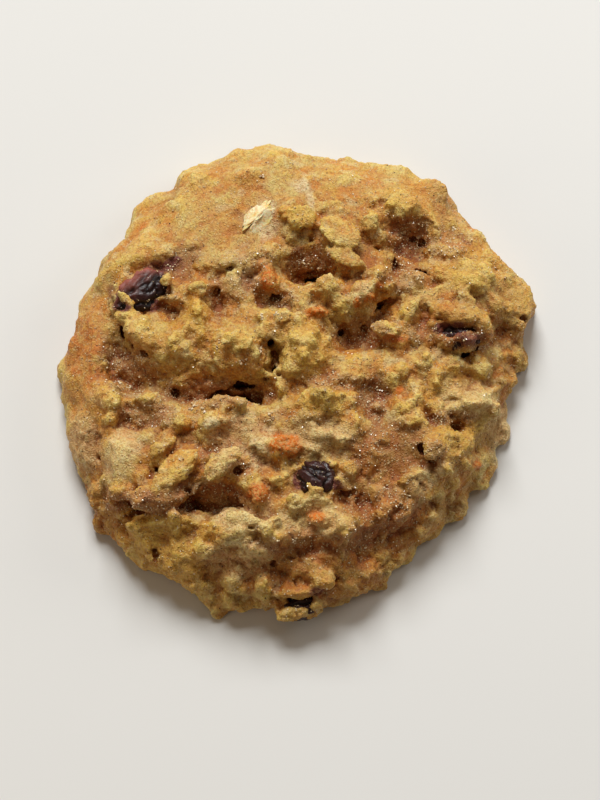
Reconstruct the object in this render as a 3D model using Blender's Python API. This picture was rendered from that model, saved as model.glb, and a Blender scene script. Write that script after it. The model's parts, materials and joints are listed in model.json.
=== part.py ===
# Oatmeal raisin cookie: one baked piece of dough with oat crags and flakes, and four raisins set in it.
# Metres, +Z up. The flat underside lies on z = 0 and the box is centred on the origin.
# The view that shows the raisins looks along +Y from above, with +X to the right.

import math
import random

import bmesh
import bpy
from mathutils import Euler, Matrix, Vector, noise

MM = 0.001

# Driving sizes of the dough, in millimetres.
DOUGH_HEIGHT = 12.6
FOOT_CENTRE = (0.0, 1.0)
TOP_DRIFT = (-1.2, 1.6)
FOOT_RISE = 0.3
SKIN_UNEVENNESS = 0.55
SKIN_GRAIN = 5.5

# Radius of the foot every 20 degrees, counter-clockwise from +X, in millimetres.
OUTLINE_STEP = 20.0
OUTLINE = (33.8, 40.4, 39.0, 41.6, 39.0, 41.4, 40.0, 38.0, 37.3,
           37.0, 36.9, 38.6, 37.5, 37.9, 38.0, 32.2, 32.4, 31.5)

# Turned profile of the pressed ball: polar angle on the ball in degrees, share of the radius, share of
# the height.
PROFILE = ((0.0, 0.0, 1.0), (45.0, 0.36, 0.985), (80.0, 0.66, 0.93), (100.0, 0.83, 0.80),
           (112.0, 0.935, 0.56), (122.0, 0.99, 0.30), (130.0, 1.0, 0.12), (137.0, 0.955, 0.0),
           (180.0, 0.0, 0.0))

# How steeply the flank of a swell falls away.
FLANK_STEEPNESS = 0.7

# Broad swells and hollows of the dough in millimetres: x, y, length, width, turn in degrees, rise.
SWELLS = (
    (-24, 25, 26, 14, 45, 1.2),
    (6, 30, 30, 11, 0, 1.4),
    (28, 15, 13, 12, 0, 1.6),
    (-34, 2, 7, 16, 0, 1.4),
    (-2, 4, 20, 11, 0, 1.4),
    (6, -9, 18, 10, 0, 0.9),
    (-21, 5, 9, 10, 0, 1.2),
    (24, -13, 14, 9, 0, 1.0),
    (-12, -3.0, 17, 4.2, -3, -6.0),
    (-8.5, -3.2, 7, 4.0, 0, -2.0),
    (-27, 0.5, 10, 5.5, -30, -3.6),
    (-28.5, 5.0, 3.4, 5.5, 15, -2.6),
    (-14.5, -20.8, 13, 4.4, 4, -5.0),
    (-25.0, -20.8, 9, 3.8, -8, -3.6),
    (2.5, 17.6, 9, 5.0, 8, -4.4),
    (2.0, 14.8, 4.0, 2.4, 15, -2.6),
    (18.0, 22.5, 6.5, 7.0, 30, -3.6),
    (15.8, 17.6, 2.6, 4.0, 0, -2.8),
    (20.6, 16.4, 4.2, 2.2, -35, -2.6),
    (6.8, 6.0, 4.4, 5.0, 0, -4.2),
    (11.0, 6.8, 5.0, 5.4, 0, -3.2),
    (13.4, 10.8, 5.0, 2.6, 38, -3.0),
    (-4.3, 2.2, 2.4, 5.0, -15, -4.2),
    (26.0, 3.4, 5.0, 3.0, 0, -3.2),
    (25.0, -8.0, 10, 2.8, 4, -4.2),
    (20.4, -16.6, 6, 3.0, 15, -3.0),
    (12.0, -5.6, 4.6, 7.0, 0, -1.8),
    (8.4, -21.2, 6.4, 2.6, 0, -2.4),
    (3.0, -30.5, 24, 4.4, 0, -2.6),
    (-5.0, 11.6, 8.0, 2.4, 0, -2.6),
    (-13.2, 12.8, 2.4, 6.0, 0, -3.0),
    (-21.0, 11.0, 3.6, 5.0, 0, -1.6),
    (-24.5, -8.0, 8.0, 4.0, 0, -1.8),
    (31.8, 8.4, 4.5, 2.6, 50, -2.4),
    (14.0, -15.0, 12, 8, 0, -0.8),
)

# Crags and flakes that show, in millimetres: x, y, length, width, turn in degrees, rise above the dough.
CRAGS = (
    (-17.0, 14.3, 8.6, 3.4, 22, 2.2),
    (-9.4, 19.0, 10.0, 4.6, 6, 2.2),
    (-5.4, 19.6, 4.6, 5.0, 40, 2.4),
    (-16.4, 9.2, 4.8, 7.8, 3, 3.0),
    (-10.6, 14.0, 5.4, 3.8, 10, 1.8),
    (-8.4, 11.9, 4.6, 2.6, -8, 1.8),
    (-4.7, 15.2, 3.2, 5.2, 12, 2.2),
    (-3.0, 7.2, 9.4, 4.6, -4, 2.4),
    (-9.6, 3.2, 8.2, 8.8, 20, 3.8),
    (0.8, 3.2, 8.0, 9.8, -8, 3.4),
    (-2.2, -2.6, 3.4, 3.6, 0, 3.0),
    (-23.6, 5.4, 9.2, 6.6, -20, 2.8),
    (-27.6, 9.4, 4.6, 2.6, 10, 1.8),
    (-19.4, 3.0, 5.4, 4.6, 0, 2.6),
    (-22.6, 19.2, 3.6, 3.2, 0, 1.6),
    (-20.4, 14.8, 3.0, 3.2, 0, 1.8),
    (6.6, 23.0, 8.6, 7.2, -38, 2.6),
    (0.2, 25.6, 5.4, 5.0, 10, 1.6),
    (16.8, 29.0, 8.4, 6.0, -6, 2.6),
    (11.2, 25.0, 4.2, 5.0, 0, 1.8),
    (8.2, 18.4, 9.0, 3.4, -22, 2.6),
    (3.8, 13.0, 7.8, 5.0, 12, 3.4),
    (10.8, 13.8, 10.4, 4.8, 52, 4.0),
    (2.9, 9.6, 4.8, 2.4, 0, 2.2),
    (13.6, 7.0, 4.8, 3.0, -12, 2.8),
    (17.8, 9.6, 3.8, 4.6, -10, 2.2),
    (18.0, 14.6, 6.4, 4.6, 8, 1.8),
    (27.4, 15.2, 9.4, 6.2, 6, 2.2),
    (26.6, 10.0, 9.0, 4.2, -30, 2.4),
    (31.4, 11.2, 5.6, 3.4, 35, 2.0),
    (35.4, 12.6, 6.0, 6.4, 0, 2.6),
    (34.8, 5.6, 5.4, 5.2, 0, 2.4),
    (30.6, 21.0, 5.0, 6.0, 30, 1.8),
    (27.0, 26.0, 5.4, 4.4, -25, 1.6),
    (33.0, 1.2, 5.4, 4.4, -15, 2.0),
    (24.0, 1.8, 5.8, 4.6, 0, 1.8),
    (19.0, 1.0, 4.2, 3.4, 0, 1.8),
    (14.8, -0.6, 4.4, 4.6, 0, 1.8),
    (8.0, -0.4, 5.4, 4.4, 0, 1.8),
    (21.8, -1.0, 3.6, 4.0, 0, 2.0),
    (30.0, -1.4, 5.2, 3.8, -10, 2.0),
    (26.0, -4.6, 13.0, 4.8, -4, 2.8),
    (33.0, -6.2, 3.8, 6.0, 10, 2.0),
    (16.6, -6.6, 5.2, 4.0, -15, 2.6),
    (21.0, -12.2, 10.4, 4.8, -58, 3.2),
    (23.6, -15.2, 3.6, 3.0, 0, 3.0),
    (28.0, -12.6, 9.0, 8.0, 10, 2.6),
    (3.6, -5.8, 10.8, 5.8, 0, 3.6),
    (8.2, -9.4, 5.0, 5.0, 60, 2.0),
    (3.0, -11.4, 10.6, 3.8, 0, 2.2),
    (2.0, -14.0, 4.8, 2.8, -10, 1.8),
    (-2.7, -13.2, 5.6, 3.6, -10, 2.2),
    (-6.4, -12.0, 5.6, 5.4, 30, 2.0),
    (-7.4, -18.2, 5.2, 4.4, 0, 2.6),
    (-2.8, -18.2, 5.4, 4.2, 20, 2.4),
    (-6.3, -21.3, 3.6, 3.6, 0, 2.4),
    (7.0, -17.0, 3.4, 6.4, 0, 1.6),
    (11.4, -14.2, 3.8, 5.4, -10, 1.4),
    (0.0, -21.8, 11.0, 4.2, 6, 2.4),
    (-12.6, -7.6, 8.8, 7.4, 6, 2.8),
    (-19.2, -8.4, 5.2, 4.8, 0, 2.0),
    (-24.0, -4.9, 5.4, 3.6, -10, 2.4),
    (-12.0, -16.4, 8.0, 4.8, 40, 3.0),
    (-21.4, -12.8, 5.8, 6.2, 0, 1.8),
    (-19.4, -17.4, 10.4, 4.8, 44, 3.2),
    (-27.4, -15.2, 11.0, 7.2, 68, 3.0),
    (-33.0, -8.0, 7.2, 5.6, 0, 2.6),
    (-33.0, -12.4, 6.8, 4.8, -10, 2.4),
    (-30.6, -6.4, 3.4, 5.6, -25, 2.2),
    (-31.6, -18.4, 5.4, 3.4, -10, 2.0),
    (-31.8, -22.2, 3.8, 5.0, 20, 1.6),
    (-20.5, -24.8, 15.0, 4.2, -4, 1.8),
    (-23.6, -27.4, 7.2, 6.6, -20, 3.4),
    (-18.8, -28.8, 7.4, 6.6, -12, 3.6),
    (-16.8, -31.4, 5.6, 6.0, 10, 3.2),
    (-10.4, -26.0, 8.8, 6.6, -20, 3.4),
    (-3.8, -26.8, 7.2, 7.0, 0, 3.6),
    (6.0, -25.0, 8.6, 5.8, 6, 3.8),
    (14.2, -22.0, 6.4, 6.0, 0, 3.4),
    (17.6, -18.8, 8.4, 4.2, 24, 3.0),
    (20.4, -22.6, 6.0, 5.4, 0, 3.0),
    (25.4, -19.6, 4.6, 5.6, -20, 2.0),
    (12.4, -30.4, 5.6, 5.8, 0, 2.8),
    (7.4, -33.4, 5.4, 4.6, 0, 2.4),
    (3.2, -33.0, 4.0, 4.6, 0, 2.4),
    (-5.6, -33.6, 5.6, 5.4, 0, 2.4),
    (-12.4, -35.0, 6.8, 4.8, -10, 2.2),
    (-9.4, -31.4, 4.2, 3.8, 0, 1.8),
    (16.6, -27.0, 5.4, 5.0, 0, 2.2),
)

# Unevenness of a crag as a share of its size and how often it comes round, its most tilt in degrees,
# and its whole depth and how deep its middle lies, both as shares of its rise.
CRAG_UNEVENNESS = 0.36
LUMP_GRAIN = 1.6
CRAG_TILT = 12
CRAG_DEPTH = 2.6
CRAG_SINK = 0.3

# Share of a crag's rise that the dough under it takes, and how far past the crag that rise spreads.
MELD_SHARE = 0.45
MELD_SPREAD = 1.25

# Crags all round the wall: rows as polar angle on the ball and count, seed, sizes in millimetres, width
# as a share of length, share of a step and angles in degrees by which they stray, and how they face out.
WALL_ROWS = ((100.0, 24), (109.0, 28), (118.0, 34), (126.0, 38))
WALL_SEED = 11
WALL_CRAG_SIZE = (4.0, 7.5)
WALL_CRAG_RISE = (0.9, 1.9)
WALL_CRAG_WIDTH = (0.55, 0.85)
WALL_STRAY = 0.35
WALL_SLOPE_STRAY = 4
WALL_SPIN = 40
WALL_LEAN = 3.0

# Fineness of the fused solid: remesh step in millimetres, smoothing passes, and triangles kept.
FUSE_STEP = 0.5
FUSE_SMOOTHING = 1
FUSED_TRIANGLES = 9000
FOOT_CUT = 0.35

# Raisins in millimetres: name, x, y, z, length, width, depth, lean and turn in degrees.
RAISINS = (
    ("raisin_left", -25.4, 14.0, 10.9, 10.8, 6.8, 5.2, 0, 38),
    ("raisin_centre", 2.7, -17.9, 11.6, 6.8, 6.0, 4.8, 0, -50),
    ("raisin_right", 25.6, 6.2, 10.9, 7.6, 4.4, 4.0, 0, 4),
    ("raisin_front", 0.2, -36.5, 3.9, 7.0, 4.0, 3.8, 50, 8),
)
RAISIN_GAP = 0.5
RAISIN_WRINKLE = 0.16
RAISIN_SHRINK = 0.3
FOLD_DEPTH = 1.8
WRINKLE_GRAIN = 2.3
RAISIN_CLEARANCE = 5.5

CRUST_COLOUR = (0.50, 0.30, 0.12, 1.0)
CRUST_ROUGHNESS = 0.75
RAISIN_COLOUR = (0.045, 0.012, 0.010, 1.0)
RAISIN_ROUGHNESS = 0.35


def clear_scene():
    for thing in list(bpy.data.objects):
        bpy.data.objects.remove(thing, do_unlink=True)


def outline_radius(angle):
    """Radius of the foot in millimetres at an angle in radians, on a smooth closed curve."""
    place = math.degrees(angle) % 360.0 / OUTLINE_STEP
    first = int(place)
    share = place - first
    a, b, c, d = (OUTLINE[(first + shift) % len(OUTLINE)] for shift in (-1, 0, 1, 2))
    bend = 2 * b + (c - a) * share
    bend += (2 * a - 5 * b + 4 * c - d) * share ** 2
    bend += (3 * b - a - 3 * c + d) * share ** 3
    return bend / 2


def profile_at(polar):
    """Share of the radius and of the height at a polar angle in degrees."""
    for (low, near, high_at), (high, far, low_at) in zip(PROFILE, PROFILE[1:]):
        if polar <= high:
            share = (polar - low) / (high - low)
            return near + (far - near) * share, high_at + (low_at - high_at) * share
    return 0.0, 0.0


def mound(x, y, centre_x, centre_y, length, width, turn, rise):
    """Rise in millimetres, at a point, of one oval swell or hollow with a round flank."""
    angle = math.radians(turn)
    along = (x - centre_x) * math.cos(angle) + (y - centre_y) * math.sin(angle)
    across = (y - centre_y) * math.cos(angle) - (x - centre_x) * math.sin(angle)
    reach = (2 * along / length) ** 2 + (2 * across / width) ** 2
    return rise * math.exp(-FLANK_STEEPNESS * reach * reach)


def swell_at(x, y):
    """Rise in millimetres that the broad swells and hollows add at a point."""
    return sum(mound(x, y, *row) for row in SWELLS)


def meld_at(x, y):
    """Rise in millimetres of the dough that clings round the crags."""
    best = 0.0
    for crag_x, crag_y, length, width, turn, rise in CRAGS:
        spread = (length * MELD_SPREAD, width * MELD_SPREAD)
        best = max(best, mound(x, y, crag_x, crag_y, *spread, turn, rise * MELD_SHARE))
    return best


def dough_point(direction):
    """Place on the dough, in millimetres, of a direction on the ball that is pressed into it."""
    polar = math.degrees(math.acos(max(-1.0, min(1.0, direction.z))))
    angle = math.atan2(direction.y, direction.x)
    spread, level = profile_at(polar)
    radius = outline_radius(angle) * spread
    x = FOOT_CENTRE[0] + radius * math.cos(angle) + TOP_DRIFT[0] * level
    y = FOOT_CENTRE[1] + radius * math.sin(angle) + TOP_DRIFT[1] * level
    height = level * DOUGH_HEIGHT
    if level > 0:
        height += level ** 1.5 * (swell_at(x, y) + meld_at(x, y))
        bump = noise.noise(Vector((x, y, height)) / SKIN_GRAIN) * SKIN_UNEVENNESS
        outward = Vector((x, y, 3 * height)).normalized()
        x, y, height = Vector((x, y, height)) + outward * bump
        height = max(height, FOOT_RISE)
    return Vector((x, y, height))


def dough_surface(x, y):
    """Height in millimetres, at a point of the plane, of the dough without what clings to crags."""
    low, high = 0.0, PROFILE[-3][0]
    for _ in range(24):
        polar = (low + high) / 2
        spread, level = profile_at(polar)
        inner = Vector((x, y)) - Vector(FOOT_CENTRE) - Vector(TOP_DRIFT) * level
        reach = inner.length / outline_radius(math.atan2(inner.y, inner.x))
        low, high = (polar, high) if spread < reach else (low, polar)
    level = profile_at((low + high) / 2)[1]
    return level * DOUGH_HEIGHT + level ** 1.5 * swell_at(x, y)


def new_object(name, bm, collection):
    """Named object from a bmesh in millimetres, scaled to metres."""
    bmesh.ops.recalc_face_normals(bm, faces=bm.faces)
    bmesh.ops.scale(bm, vec=Vector((MM, MM, MM)), verts=bm.verts)
    mesh = bpy.data.meshes.new(name)
    bm.to_mesh(mesh)
    bm.free()
    thing = bpy.data.objects.new(name, mesh)
    collection.objects.link(thing)
    return thing


def make_dough(collection):
    """Ball of dough pressed into a cookie, with its swells and hollows."""
    bm = bmesh.new()
    bmesh.ops.create_icosphere(bm, subdivisions=5, radius=1.0)
    for vertex in bm.verts:
        vertex.co = dough_point(vertex.co)
    return new_object("cookie", bm, collection)


def lump(length, width, height, seed, roughness):
    """Uneven ball of the given sizes in millimetres, at the origin."""
    bm = bmesh.new()
    bmesh.ops.create_icosphere(bm, subdivisions=3, radius=0.5)
    offset = Vector((seed * 3.7, seed * 1.3, seed * 2.1))
    for vertex in bm.verts:
        direction = vertex.co.normalized()
        swell = 1.0 + roughness * noise.noise(direction * LUMP_GRAIN + offset)
        vertex.co = Vector((vertex.co.x * length, vertex.co.y * width, vertex.co.z * height)) * swell
    return bm


def set_lump(name, bm, matrix, collection):
    """Object from a lump that a matrix sets in place, kept clear of the floor."""
    bmesh.ops.transform(bm, matrix=matrix, verts=bm.verts)
    for vertex in bm.verts:
        vertex.co.z = max(vertex.co.z, FOOT_RISE)
    return new_object(name, bm, collection)


def make_crag(number, x, y, length, width, turn, rise, collection):
    """Crag or flake that stands up from the dough by its rise."""
    bm = lump(length, width, CRAG_DEPTH * rise, number, CRAG_UNEVENNESS)
    draw = random.Random(number)
    tilts = [math.radians(draw.uniform(-CRAG_TILT, CRAG_TILT)) for _ in range(2)]
    lean = Euler((*tilts, math.radians(turn))).to_matrix().to_4x4()
    place = Vector((x, y, dough_surface(x, y) - CRAG_SINK * rise))
    set_lump(f"crag_{number}", bm, Matrix.Translation(place) @ lean, collection)


def make_wall_crags(collection):
    """Crags in uneven rows round the wall, each standing out from it."""
    draw = random.Random(WALL_SEED)
    for polar, count in WALL_ROWS:
        for index in range(count):
            angle = 2 * math.pi * (index + draw.uniform(-WALL_STRAY, WALL_STRAY)) / count
            slope = math.radians(polar + draw.uniform(-WALL_SLOPE_STRAY, WALL_SLOPE_STRAY))
            outward = Vector((math.cos(angle) * math.sin(slope), math.sin(angle) * math.sin(slope),
                              math.cos(slope)))
            length = draw.uniform(*WALL_CRAG_SIZE)
            rise = draw.uniform(*WALL_CRAG_RISE)
            width = length * draw.uniform(*WALL_CRAG_WIDTH)
            bm = lump(length, width, CRAG_DEPTH * rise, index + polar, CRAG_UNEVENNESS)
            spin = Matrix.Rotation(math.radians(draw.uniform(-WALL_SPIN, WALL_SPIN)), 4, "Z")
            flat = Vector((outward.x, outward.y, 0.0)).normalized()
            facing = (WALL_LEAN * flat + Vector((0.0, 0.0, 1.0))).to_track_quat("Z", "Y").to_matrix().to_4x4()
            place = dough_point(outward)
            if min((place - Vector(row[1:4])).length for row in RAISINS) < RAISIN_CLEARANCE:
                bm.free()
                continue
            set_lump(f"wall_{polar}_{index}", bm, Matrix.Translation(place) @ facing @ spin, collection)


def apply_modifier(thing, kind, **settings):
    """Adds one modifier with its settings and applies it."""
    modifier = thing.modifiers.new(kind.lower(), kind)
    for name, value in settings.items():
        setattr(modifier, name, value)
    with bpy.context.temp_override(object=thing, active_object=thing, selected_objects=[thing]):
        bpy.ops.object.modifier_apply(modifier=modifier.name)


def combine(base, pieces, operation):
    """Joins or cuts a base with a collection of pieces in one Boolean, then removes the pieces."""
    apply_modifier(base, "BOOLEAN", operation=operation, operand_type="COLLECTION",
                   collection=pieces, solver="MANIFOLD")
    for piece in list(pieces.objects):
        bpy.data.objects.remove(piece, do_unlink=True)
    bpy.data.collections.remove(pieces)


def bake_together(cookie):
    """Runs dough and crags into one skin, then keeps only the triangles that its shape needs."""
    apply_modifier(cookie, "REMESH", mode="VOXEL", voxel_size=FUSE_STEP * MM)
    apply_modifier(cookie, "SMOOTH", factor=0.5, iterations=FUSE_SMOOTHING)
    cookie.data.calc_loop_triangles()
    share = FUSED_TRIANGLES / len(cookie.data.loop_triangles)
    apply_modifier(cookie, "DECIMATE", ratio=share)


def cut_foot(cookie):
    """Slices the underside flat."""
    bm = bmesh.new()
    bm.from_mesh(cookie.data)
    everything = bm.verts[:] + bm.edges[:] + bm.faces[:]
    bmesh.ops.bisect_plane(bm, geom=everything, plane_co=(0.0, 0.0, FOOT_CUT * MM),
                           plane_no=(0.0, 0.0, 1.0), clear_inner=True)
    rim = [edge for edge in bm.edges if edge.is_boundary]
    bmesh.ops.holes_fill(bm, edges=rim, sides=0)
    bmesh.ops.triangulate(bm, faces=bm.faces)
    bm.to_mesh(cookie.data)
    bm.free()


def keep_outer_shell(thing):
    """Fills sealed hollows and drops loose scraps: only the largest connected shell stays."""
    bm = bmesh.new()
    bm.from_mesh(thing.data)
    left = set(bm.verts)
    shells = []
    while left:
        start = left.pop()
        shell, queue = {start}, [start]
        while queue:
            for edge in queue.pop().link_edges:
                for vertex in edge.verts:
                    if vertex not in shell:
                        shell.add(vertex)
                        queue.append(vertex)
        left -= shell
        shells.append(shell)
    largest = max(shells, key=len)
    loose = [vertex for vertex in bm.verts if vertex not in largest]
    bmesh.ops.delete(bm, geom=loose, context="VERTS")
    bmesh.ops.triangulate(bm, faces=bm.faces)
    bm.to_mesh(thing.data)
    bm.free()


def make_raisins(collection, pockets):
    """Wrinkled raisins, and the pockets that hold them with a gap all round."""
    for number, (name, x, y, z, length, width, height, lean, turn) in enumerate(RAISINS):
        tilt = Euler((math.radians(lean), 0.0, math.radians(turn))).to_matrix().to_4x4()
        place = Matrix.Translation((x, y, z)) @ tilt
        bm = lump(length, width, height, number, 0.0)
        for vertex in bm.verts:
            fold = noise.noise(vertex.co / WRINKLE_GRAIN + Vector((number * 5.0, 0.0, 0.0)))
            vertex.co *= 1.0 - RAISIN_WRINKLE * min(1.0, RAISIN_SHRINK + FOLD_DEPTH * abs(fold))
        bmesh.ops.transform(bm, matrix=place, verts=bm.verts)
        new_object(name, bm, collection)
        slack = 2 * RAISIN_GAP
        bm = lump(length + slack, width + slack, height + slack, number, 0.0)
        bmesh.ops.transform(bm, matrix=place, verts=bm.verts)
        new_object(f"pocket_{number}", bm, pockets)


def centre_on_floor(things):
    """Moves all the meshes together so that their box is centred on the origin, on the floor."""
    corners = [vertex.co for thing in things for vertex in thing.data.vertices]
    low = [min(corner[axis] for corner in corners) for axis in range(3)]
    high = [max(corner[axis] for corner in corners) for axis in range(3)]
    shift = Vector((-(low[0] + high[0]) / 2, -(low[1] + high[1]) / 2, -low[2]))
    for thing in things:
        thing.data.transform(Matrix.Translation(shift))


def finish(thing, colour, roughness):
    """Gives a piece its own material."""
    material = bpy.data.materials.new(thing.name)
    material.use_nodes = True
    shader = material.node_tree.nodes["Principled BSDF"]
    shader.inputs["Base Color"].default_value = colour
    shader.inputs["Roughness"].default_value = roughness
    shader.inputs["Metallic"].default_value = 0.0
    thing.data.materials.clear()
    thing.data.materials.append(material)
    material.diffuse_color = colour


def main():
    clear_scene()
    scene = bpy.context.scene.collection
    crags = bpy.data.collections.new("crags")
    pockets = bpy.data.collections.new("pockets")
    scene.children.link(crags)
    scene.children.link(pockets)
    cookie = make_dough(scene)
    for number, row in enumerate(CRAGS):
        make_crag(number, *row, crags)
    make_wall_crags(crags)
    combine(cookie, crags, "UNION")
    keep_outer_shell(cookie)
    bake_together(cookie)
    cut_foot(cookie)
    make_raisins(scene, pockets)
    combine(cookie, pockets, "DIFFERENCE")
    keep_outer_shell(cookie)
    raisins = [thing for thing in scene.objects if thing.name.startswith("raisin")]
    centre_on_floor([cookie] + raisins)
    finish(cookie, CRUST_COLOUR, CRUST_ROUGHNESS)
    for raisin in raisins:
        finish(raisin, RAISIN_COLOUR, RAISIN_ROUGHNESS)
        raisin.data.shade_smooth()


main()
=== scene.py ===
"""Oatmeal raisin cookie: fine dough, raisins, sugar grains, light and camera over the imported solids."""

import json
import math
import random

import bmesh
import bpy
import numpy as np
from bpy.props import FloatProperty, FloatVectorProperty, IntProperty, PointerProperty
from mathutils import Euler, Matrix, Vector, noise
from mathutils.bvhtree import BVHTree

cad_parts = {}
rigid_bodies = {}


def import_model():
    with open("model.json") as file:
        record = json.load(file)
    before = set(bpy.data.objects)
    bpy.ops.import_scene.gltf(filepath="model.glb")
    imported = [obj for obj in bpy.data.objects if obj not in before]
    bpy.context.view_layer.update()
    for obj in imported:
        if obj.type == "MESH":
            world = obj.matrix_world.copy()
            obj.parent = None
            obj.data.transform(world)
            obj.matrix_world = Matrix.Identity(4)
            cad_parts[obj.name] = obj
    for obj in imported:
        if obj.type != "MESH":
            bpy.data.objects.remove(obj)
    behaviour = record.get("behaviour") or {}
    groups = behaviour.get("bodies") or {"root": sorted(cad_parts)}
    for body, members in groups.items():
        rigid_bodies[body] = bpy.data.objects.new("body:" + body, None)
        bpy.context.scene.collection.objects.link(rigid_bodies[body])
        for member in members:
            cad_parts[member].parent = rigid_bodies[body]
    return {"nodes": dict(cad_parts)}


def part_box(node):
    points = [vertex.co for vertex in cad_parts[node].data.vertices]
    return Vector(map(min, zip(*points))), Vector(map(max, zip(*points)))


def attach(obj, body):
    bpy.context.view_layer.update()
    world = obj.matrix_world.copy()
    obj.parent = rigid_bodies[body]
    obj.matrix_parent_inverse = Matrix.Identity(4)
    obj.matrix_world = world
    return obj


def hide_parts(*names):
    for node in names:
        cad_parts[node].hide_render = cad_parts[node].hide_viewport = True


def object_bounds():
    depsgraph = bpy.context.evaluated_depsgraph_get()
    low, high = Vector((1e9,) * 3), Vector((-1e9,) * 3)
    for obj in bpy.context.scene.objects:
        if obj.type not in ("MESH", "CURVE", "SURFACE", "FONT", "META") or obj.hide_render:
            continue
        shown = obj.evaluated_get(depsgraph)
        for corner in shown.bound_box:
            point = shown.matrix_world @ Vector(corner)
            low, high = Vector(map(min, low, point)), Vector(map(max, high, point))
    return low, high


bl_info = {
    "name": "Oatmeal Raisin Cookie",
    "version": (1, 0, 0),
    "blender": (4, 5, 0),
    "location": "View3D > Sidebar > Cookie",
    "description": "Makes the baked dough, raisins and sugar of a cookie over its solids",
    "category": "Add Mesh",
}

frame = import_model()
SOLID_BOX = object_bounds()

MM = 0.001
UP = Vector((0.0, 0.0, 1.0))
SEED = 7

# The photograph looks down on the cookie at this elevation, in degrees. Places below are read on a level
# plane through the top of the dough, in millimetres from the foot's centre.
VIEW_ELEVATION = 70.0
READING_HEIGHT = 14.0
READING_SLOPE = math.tan(math.radians(90.0 - VIEW_ELEVATION))
EYE_REACH = 0.05
NEAREST_HEIGHT = 0.005

# Rays that each point of the dough sends to the sky, their spiral's angle, how far they look and how far
# off the skin they start, in metres. A ray that only grazes the skin is left out.
SKY_RAYS = 18
SPIRAL_ANGLE = 2.399963
SKY_REACH = 0.009
SKY_START = 0.08 * MM
GRAZING = 0.05

# An oval patch ends at this share of its radius, and fades over this share.
PATCH_END = 1.25
PATCH_FADE = 0.5

# Heights in metres: the foot keeps the solid's form below the first, crumbs lie above the second, and
# the finished skin may rise above the solid by the third.
FOOT_HEIGHT = 0.0012
CRUMB_FLOOR = 0.0008
TOP_MARGIN = 0.0003

# How far crust without crumbs stands out past the inset, how far the wall comes back out, the facing below
# which dough counts as wall, and rounds of smoothing of the fine crust and the wall.
FINE_OUTSET = 1.3
WALL_OUTSET = 0.4
WALL_FACING = 0.6
FINE_ROUNDS = 4
WALL_ROUNDS = 6

# Crumbs: length in millimetres, width as a share of it, height as a share of the width, and how deep they
# sink as a share of the height.
CRUMB_LENGTHS = (1.6, 4.4)
CRUMB_WIDTHS = (0.6, 0.95)
CRUMB_HEIGHTS = (0.5, 0.75)
CRUMB_DEPTHS = (0.12, 0.30)
CRUMB_LEAN = 0.35
RAISIN_CLEARANCE = 1.4 * MM

# Middles of the raisins in the source's millimetres, before its box was centred.
RAISIN_PLACES = {
    "raisin_left": (-25.4, 14.0),
    "raisin_centre": (2.7, -17.9),
    "raisin_right": (25.6, 6.2),
    "raisin_front": (0.2, -36.5),
}

# Length and width of each raisin that the dough leaves open, in millimetres.
RAISIN_SPREADS = {
    "raisin_left": (10.8, 6.8),
    "raisin_centre": (6.8, 6.0),
    "raisin_right": (7.6, 4.4),
    "raisin_front": (7.0, 3.0),
}

# Turn of each raisin's length in degrees, and how red the skin is of those that are one colour all over.
RAISIN_TURNS = {"raisin_left": 38, "raisin_centre": -50, "raisin_right": 4, "raisin_front": 8}
RAISIN_BLUSH = {"raisin_centre": -0.30, "raisin_right": 0.0, "raisin_front": -0.2}

# The bed of dough under each raisin against the raisin, and how far it sinks, in millimetres.
BED_WIDTH = 1.28
BED_HEIGHT = 0.62
BED_SINK = 0.3

# Crumbs on each raisin's rim: how many, their place as a share of the opening, and their height and size
# in millimetres.
RIM_CRUMBS = 15
RIM_REACH = (0.44, 0.57)
RIM_HEIGHTS = (0.3, 1.0)
RIM_SIZES = (0.8, 2.1)

# Lumps: the grain of their unevenness, and the first shape number of each kind, so that the kinds differ.
LUMP_GRAIN = 3.4
FLAKE_SHAPES = 40
ORANGE_SHAPES = 80
HOLE_SHAPES = 120
CRISP_SHAPES = 200
FLAKE_THICKNESS = 0.45

# The way out of a hole, beside the dough's own facing.
HOLE_LEAN = Vector((0.0, -0.28, 0.7))

# Pebbles of the relief: how far they stray from a grid of cells, how wide their creases are, and the odd
# direction that draws each one's tone.
PEBBLE_STRAY = 0.35
CREASE_WIDTH = 0.55
TONE_DIRECTION = Vector((12.9, 78.2, 37.7))

# Grains of the relief in millimetres: pebbles, crumb and grit, and the swells of the smooth wall.
PEBBLE_GRAIN = 2.6
CRUMB_GRAIN = 1.15
GRIT_GRAIN = 0.8
SWELL_GRAIN = 6.0
RIPPLE_GRAIN = 3.2

# Passes of blurring that tell fine, middling and broad hollows.
HOLLOW_PASSES = (6, 40, 220)

# Grains of sugar drawn on each raisin, and round each glint with their spread in millimetres.
RAISIN_GRAINS = 90
GLINT_GRAINS = 5
GLINT_SPREAD = 0.35

# Colours that multiply the crust's own: painted shade and browner bake of the darker zones, painted shade on
# low ground, painted light on high ground, and creases of the grain.
DARKER_TINT = (0.70, 0.46, 0.28, 1.0)
LOW_GROUND_SHADE = (0.68, 0.55, 0.45, 1.0)
HIGH_GROUND_LIGHT = (1.02, 1.06, 1.13, 1.0)
CREASE_TINT = (0.64, 0.44, 0.28, 1.0)
NO_TINT = (1.0, 1.0, 1.0, 1.0)

# Lights: name, place in metres, width, share of the key light's power, colour.
LIGHTS = (
    ("key", (-0.12, 0.92, 0.98), 0.62, 1.0, (0.93, 0.95, 0.95)),
    ("side", (0.34, 0.16, 0.22), 0.20, 0.016, (1.0, 0.98, 0.95)),
    ("left", (-0.34, -0.18, 0.20), 0.20, 0.009, (1.0, 0.80, 0.58)),
)
FILL_COLOUR = (1.0, 0.82, 0.62, 1.0)
FLOOR_MOTTLE = (0.55, 0.54, 0.52, 1.0)
FLOOR_SIZE = 2.0
CAMERA_TARGET = Vector((0.00033, -0.0048, 0.00426))

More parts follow.
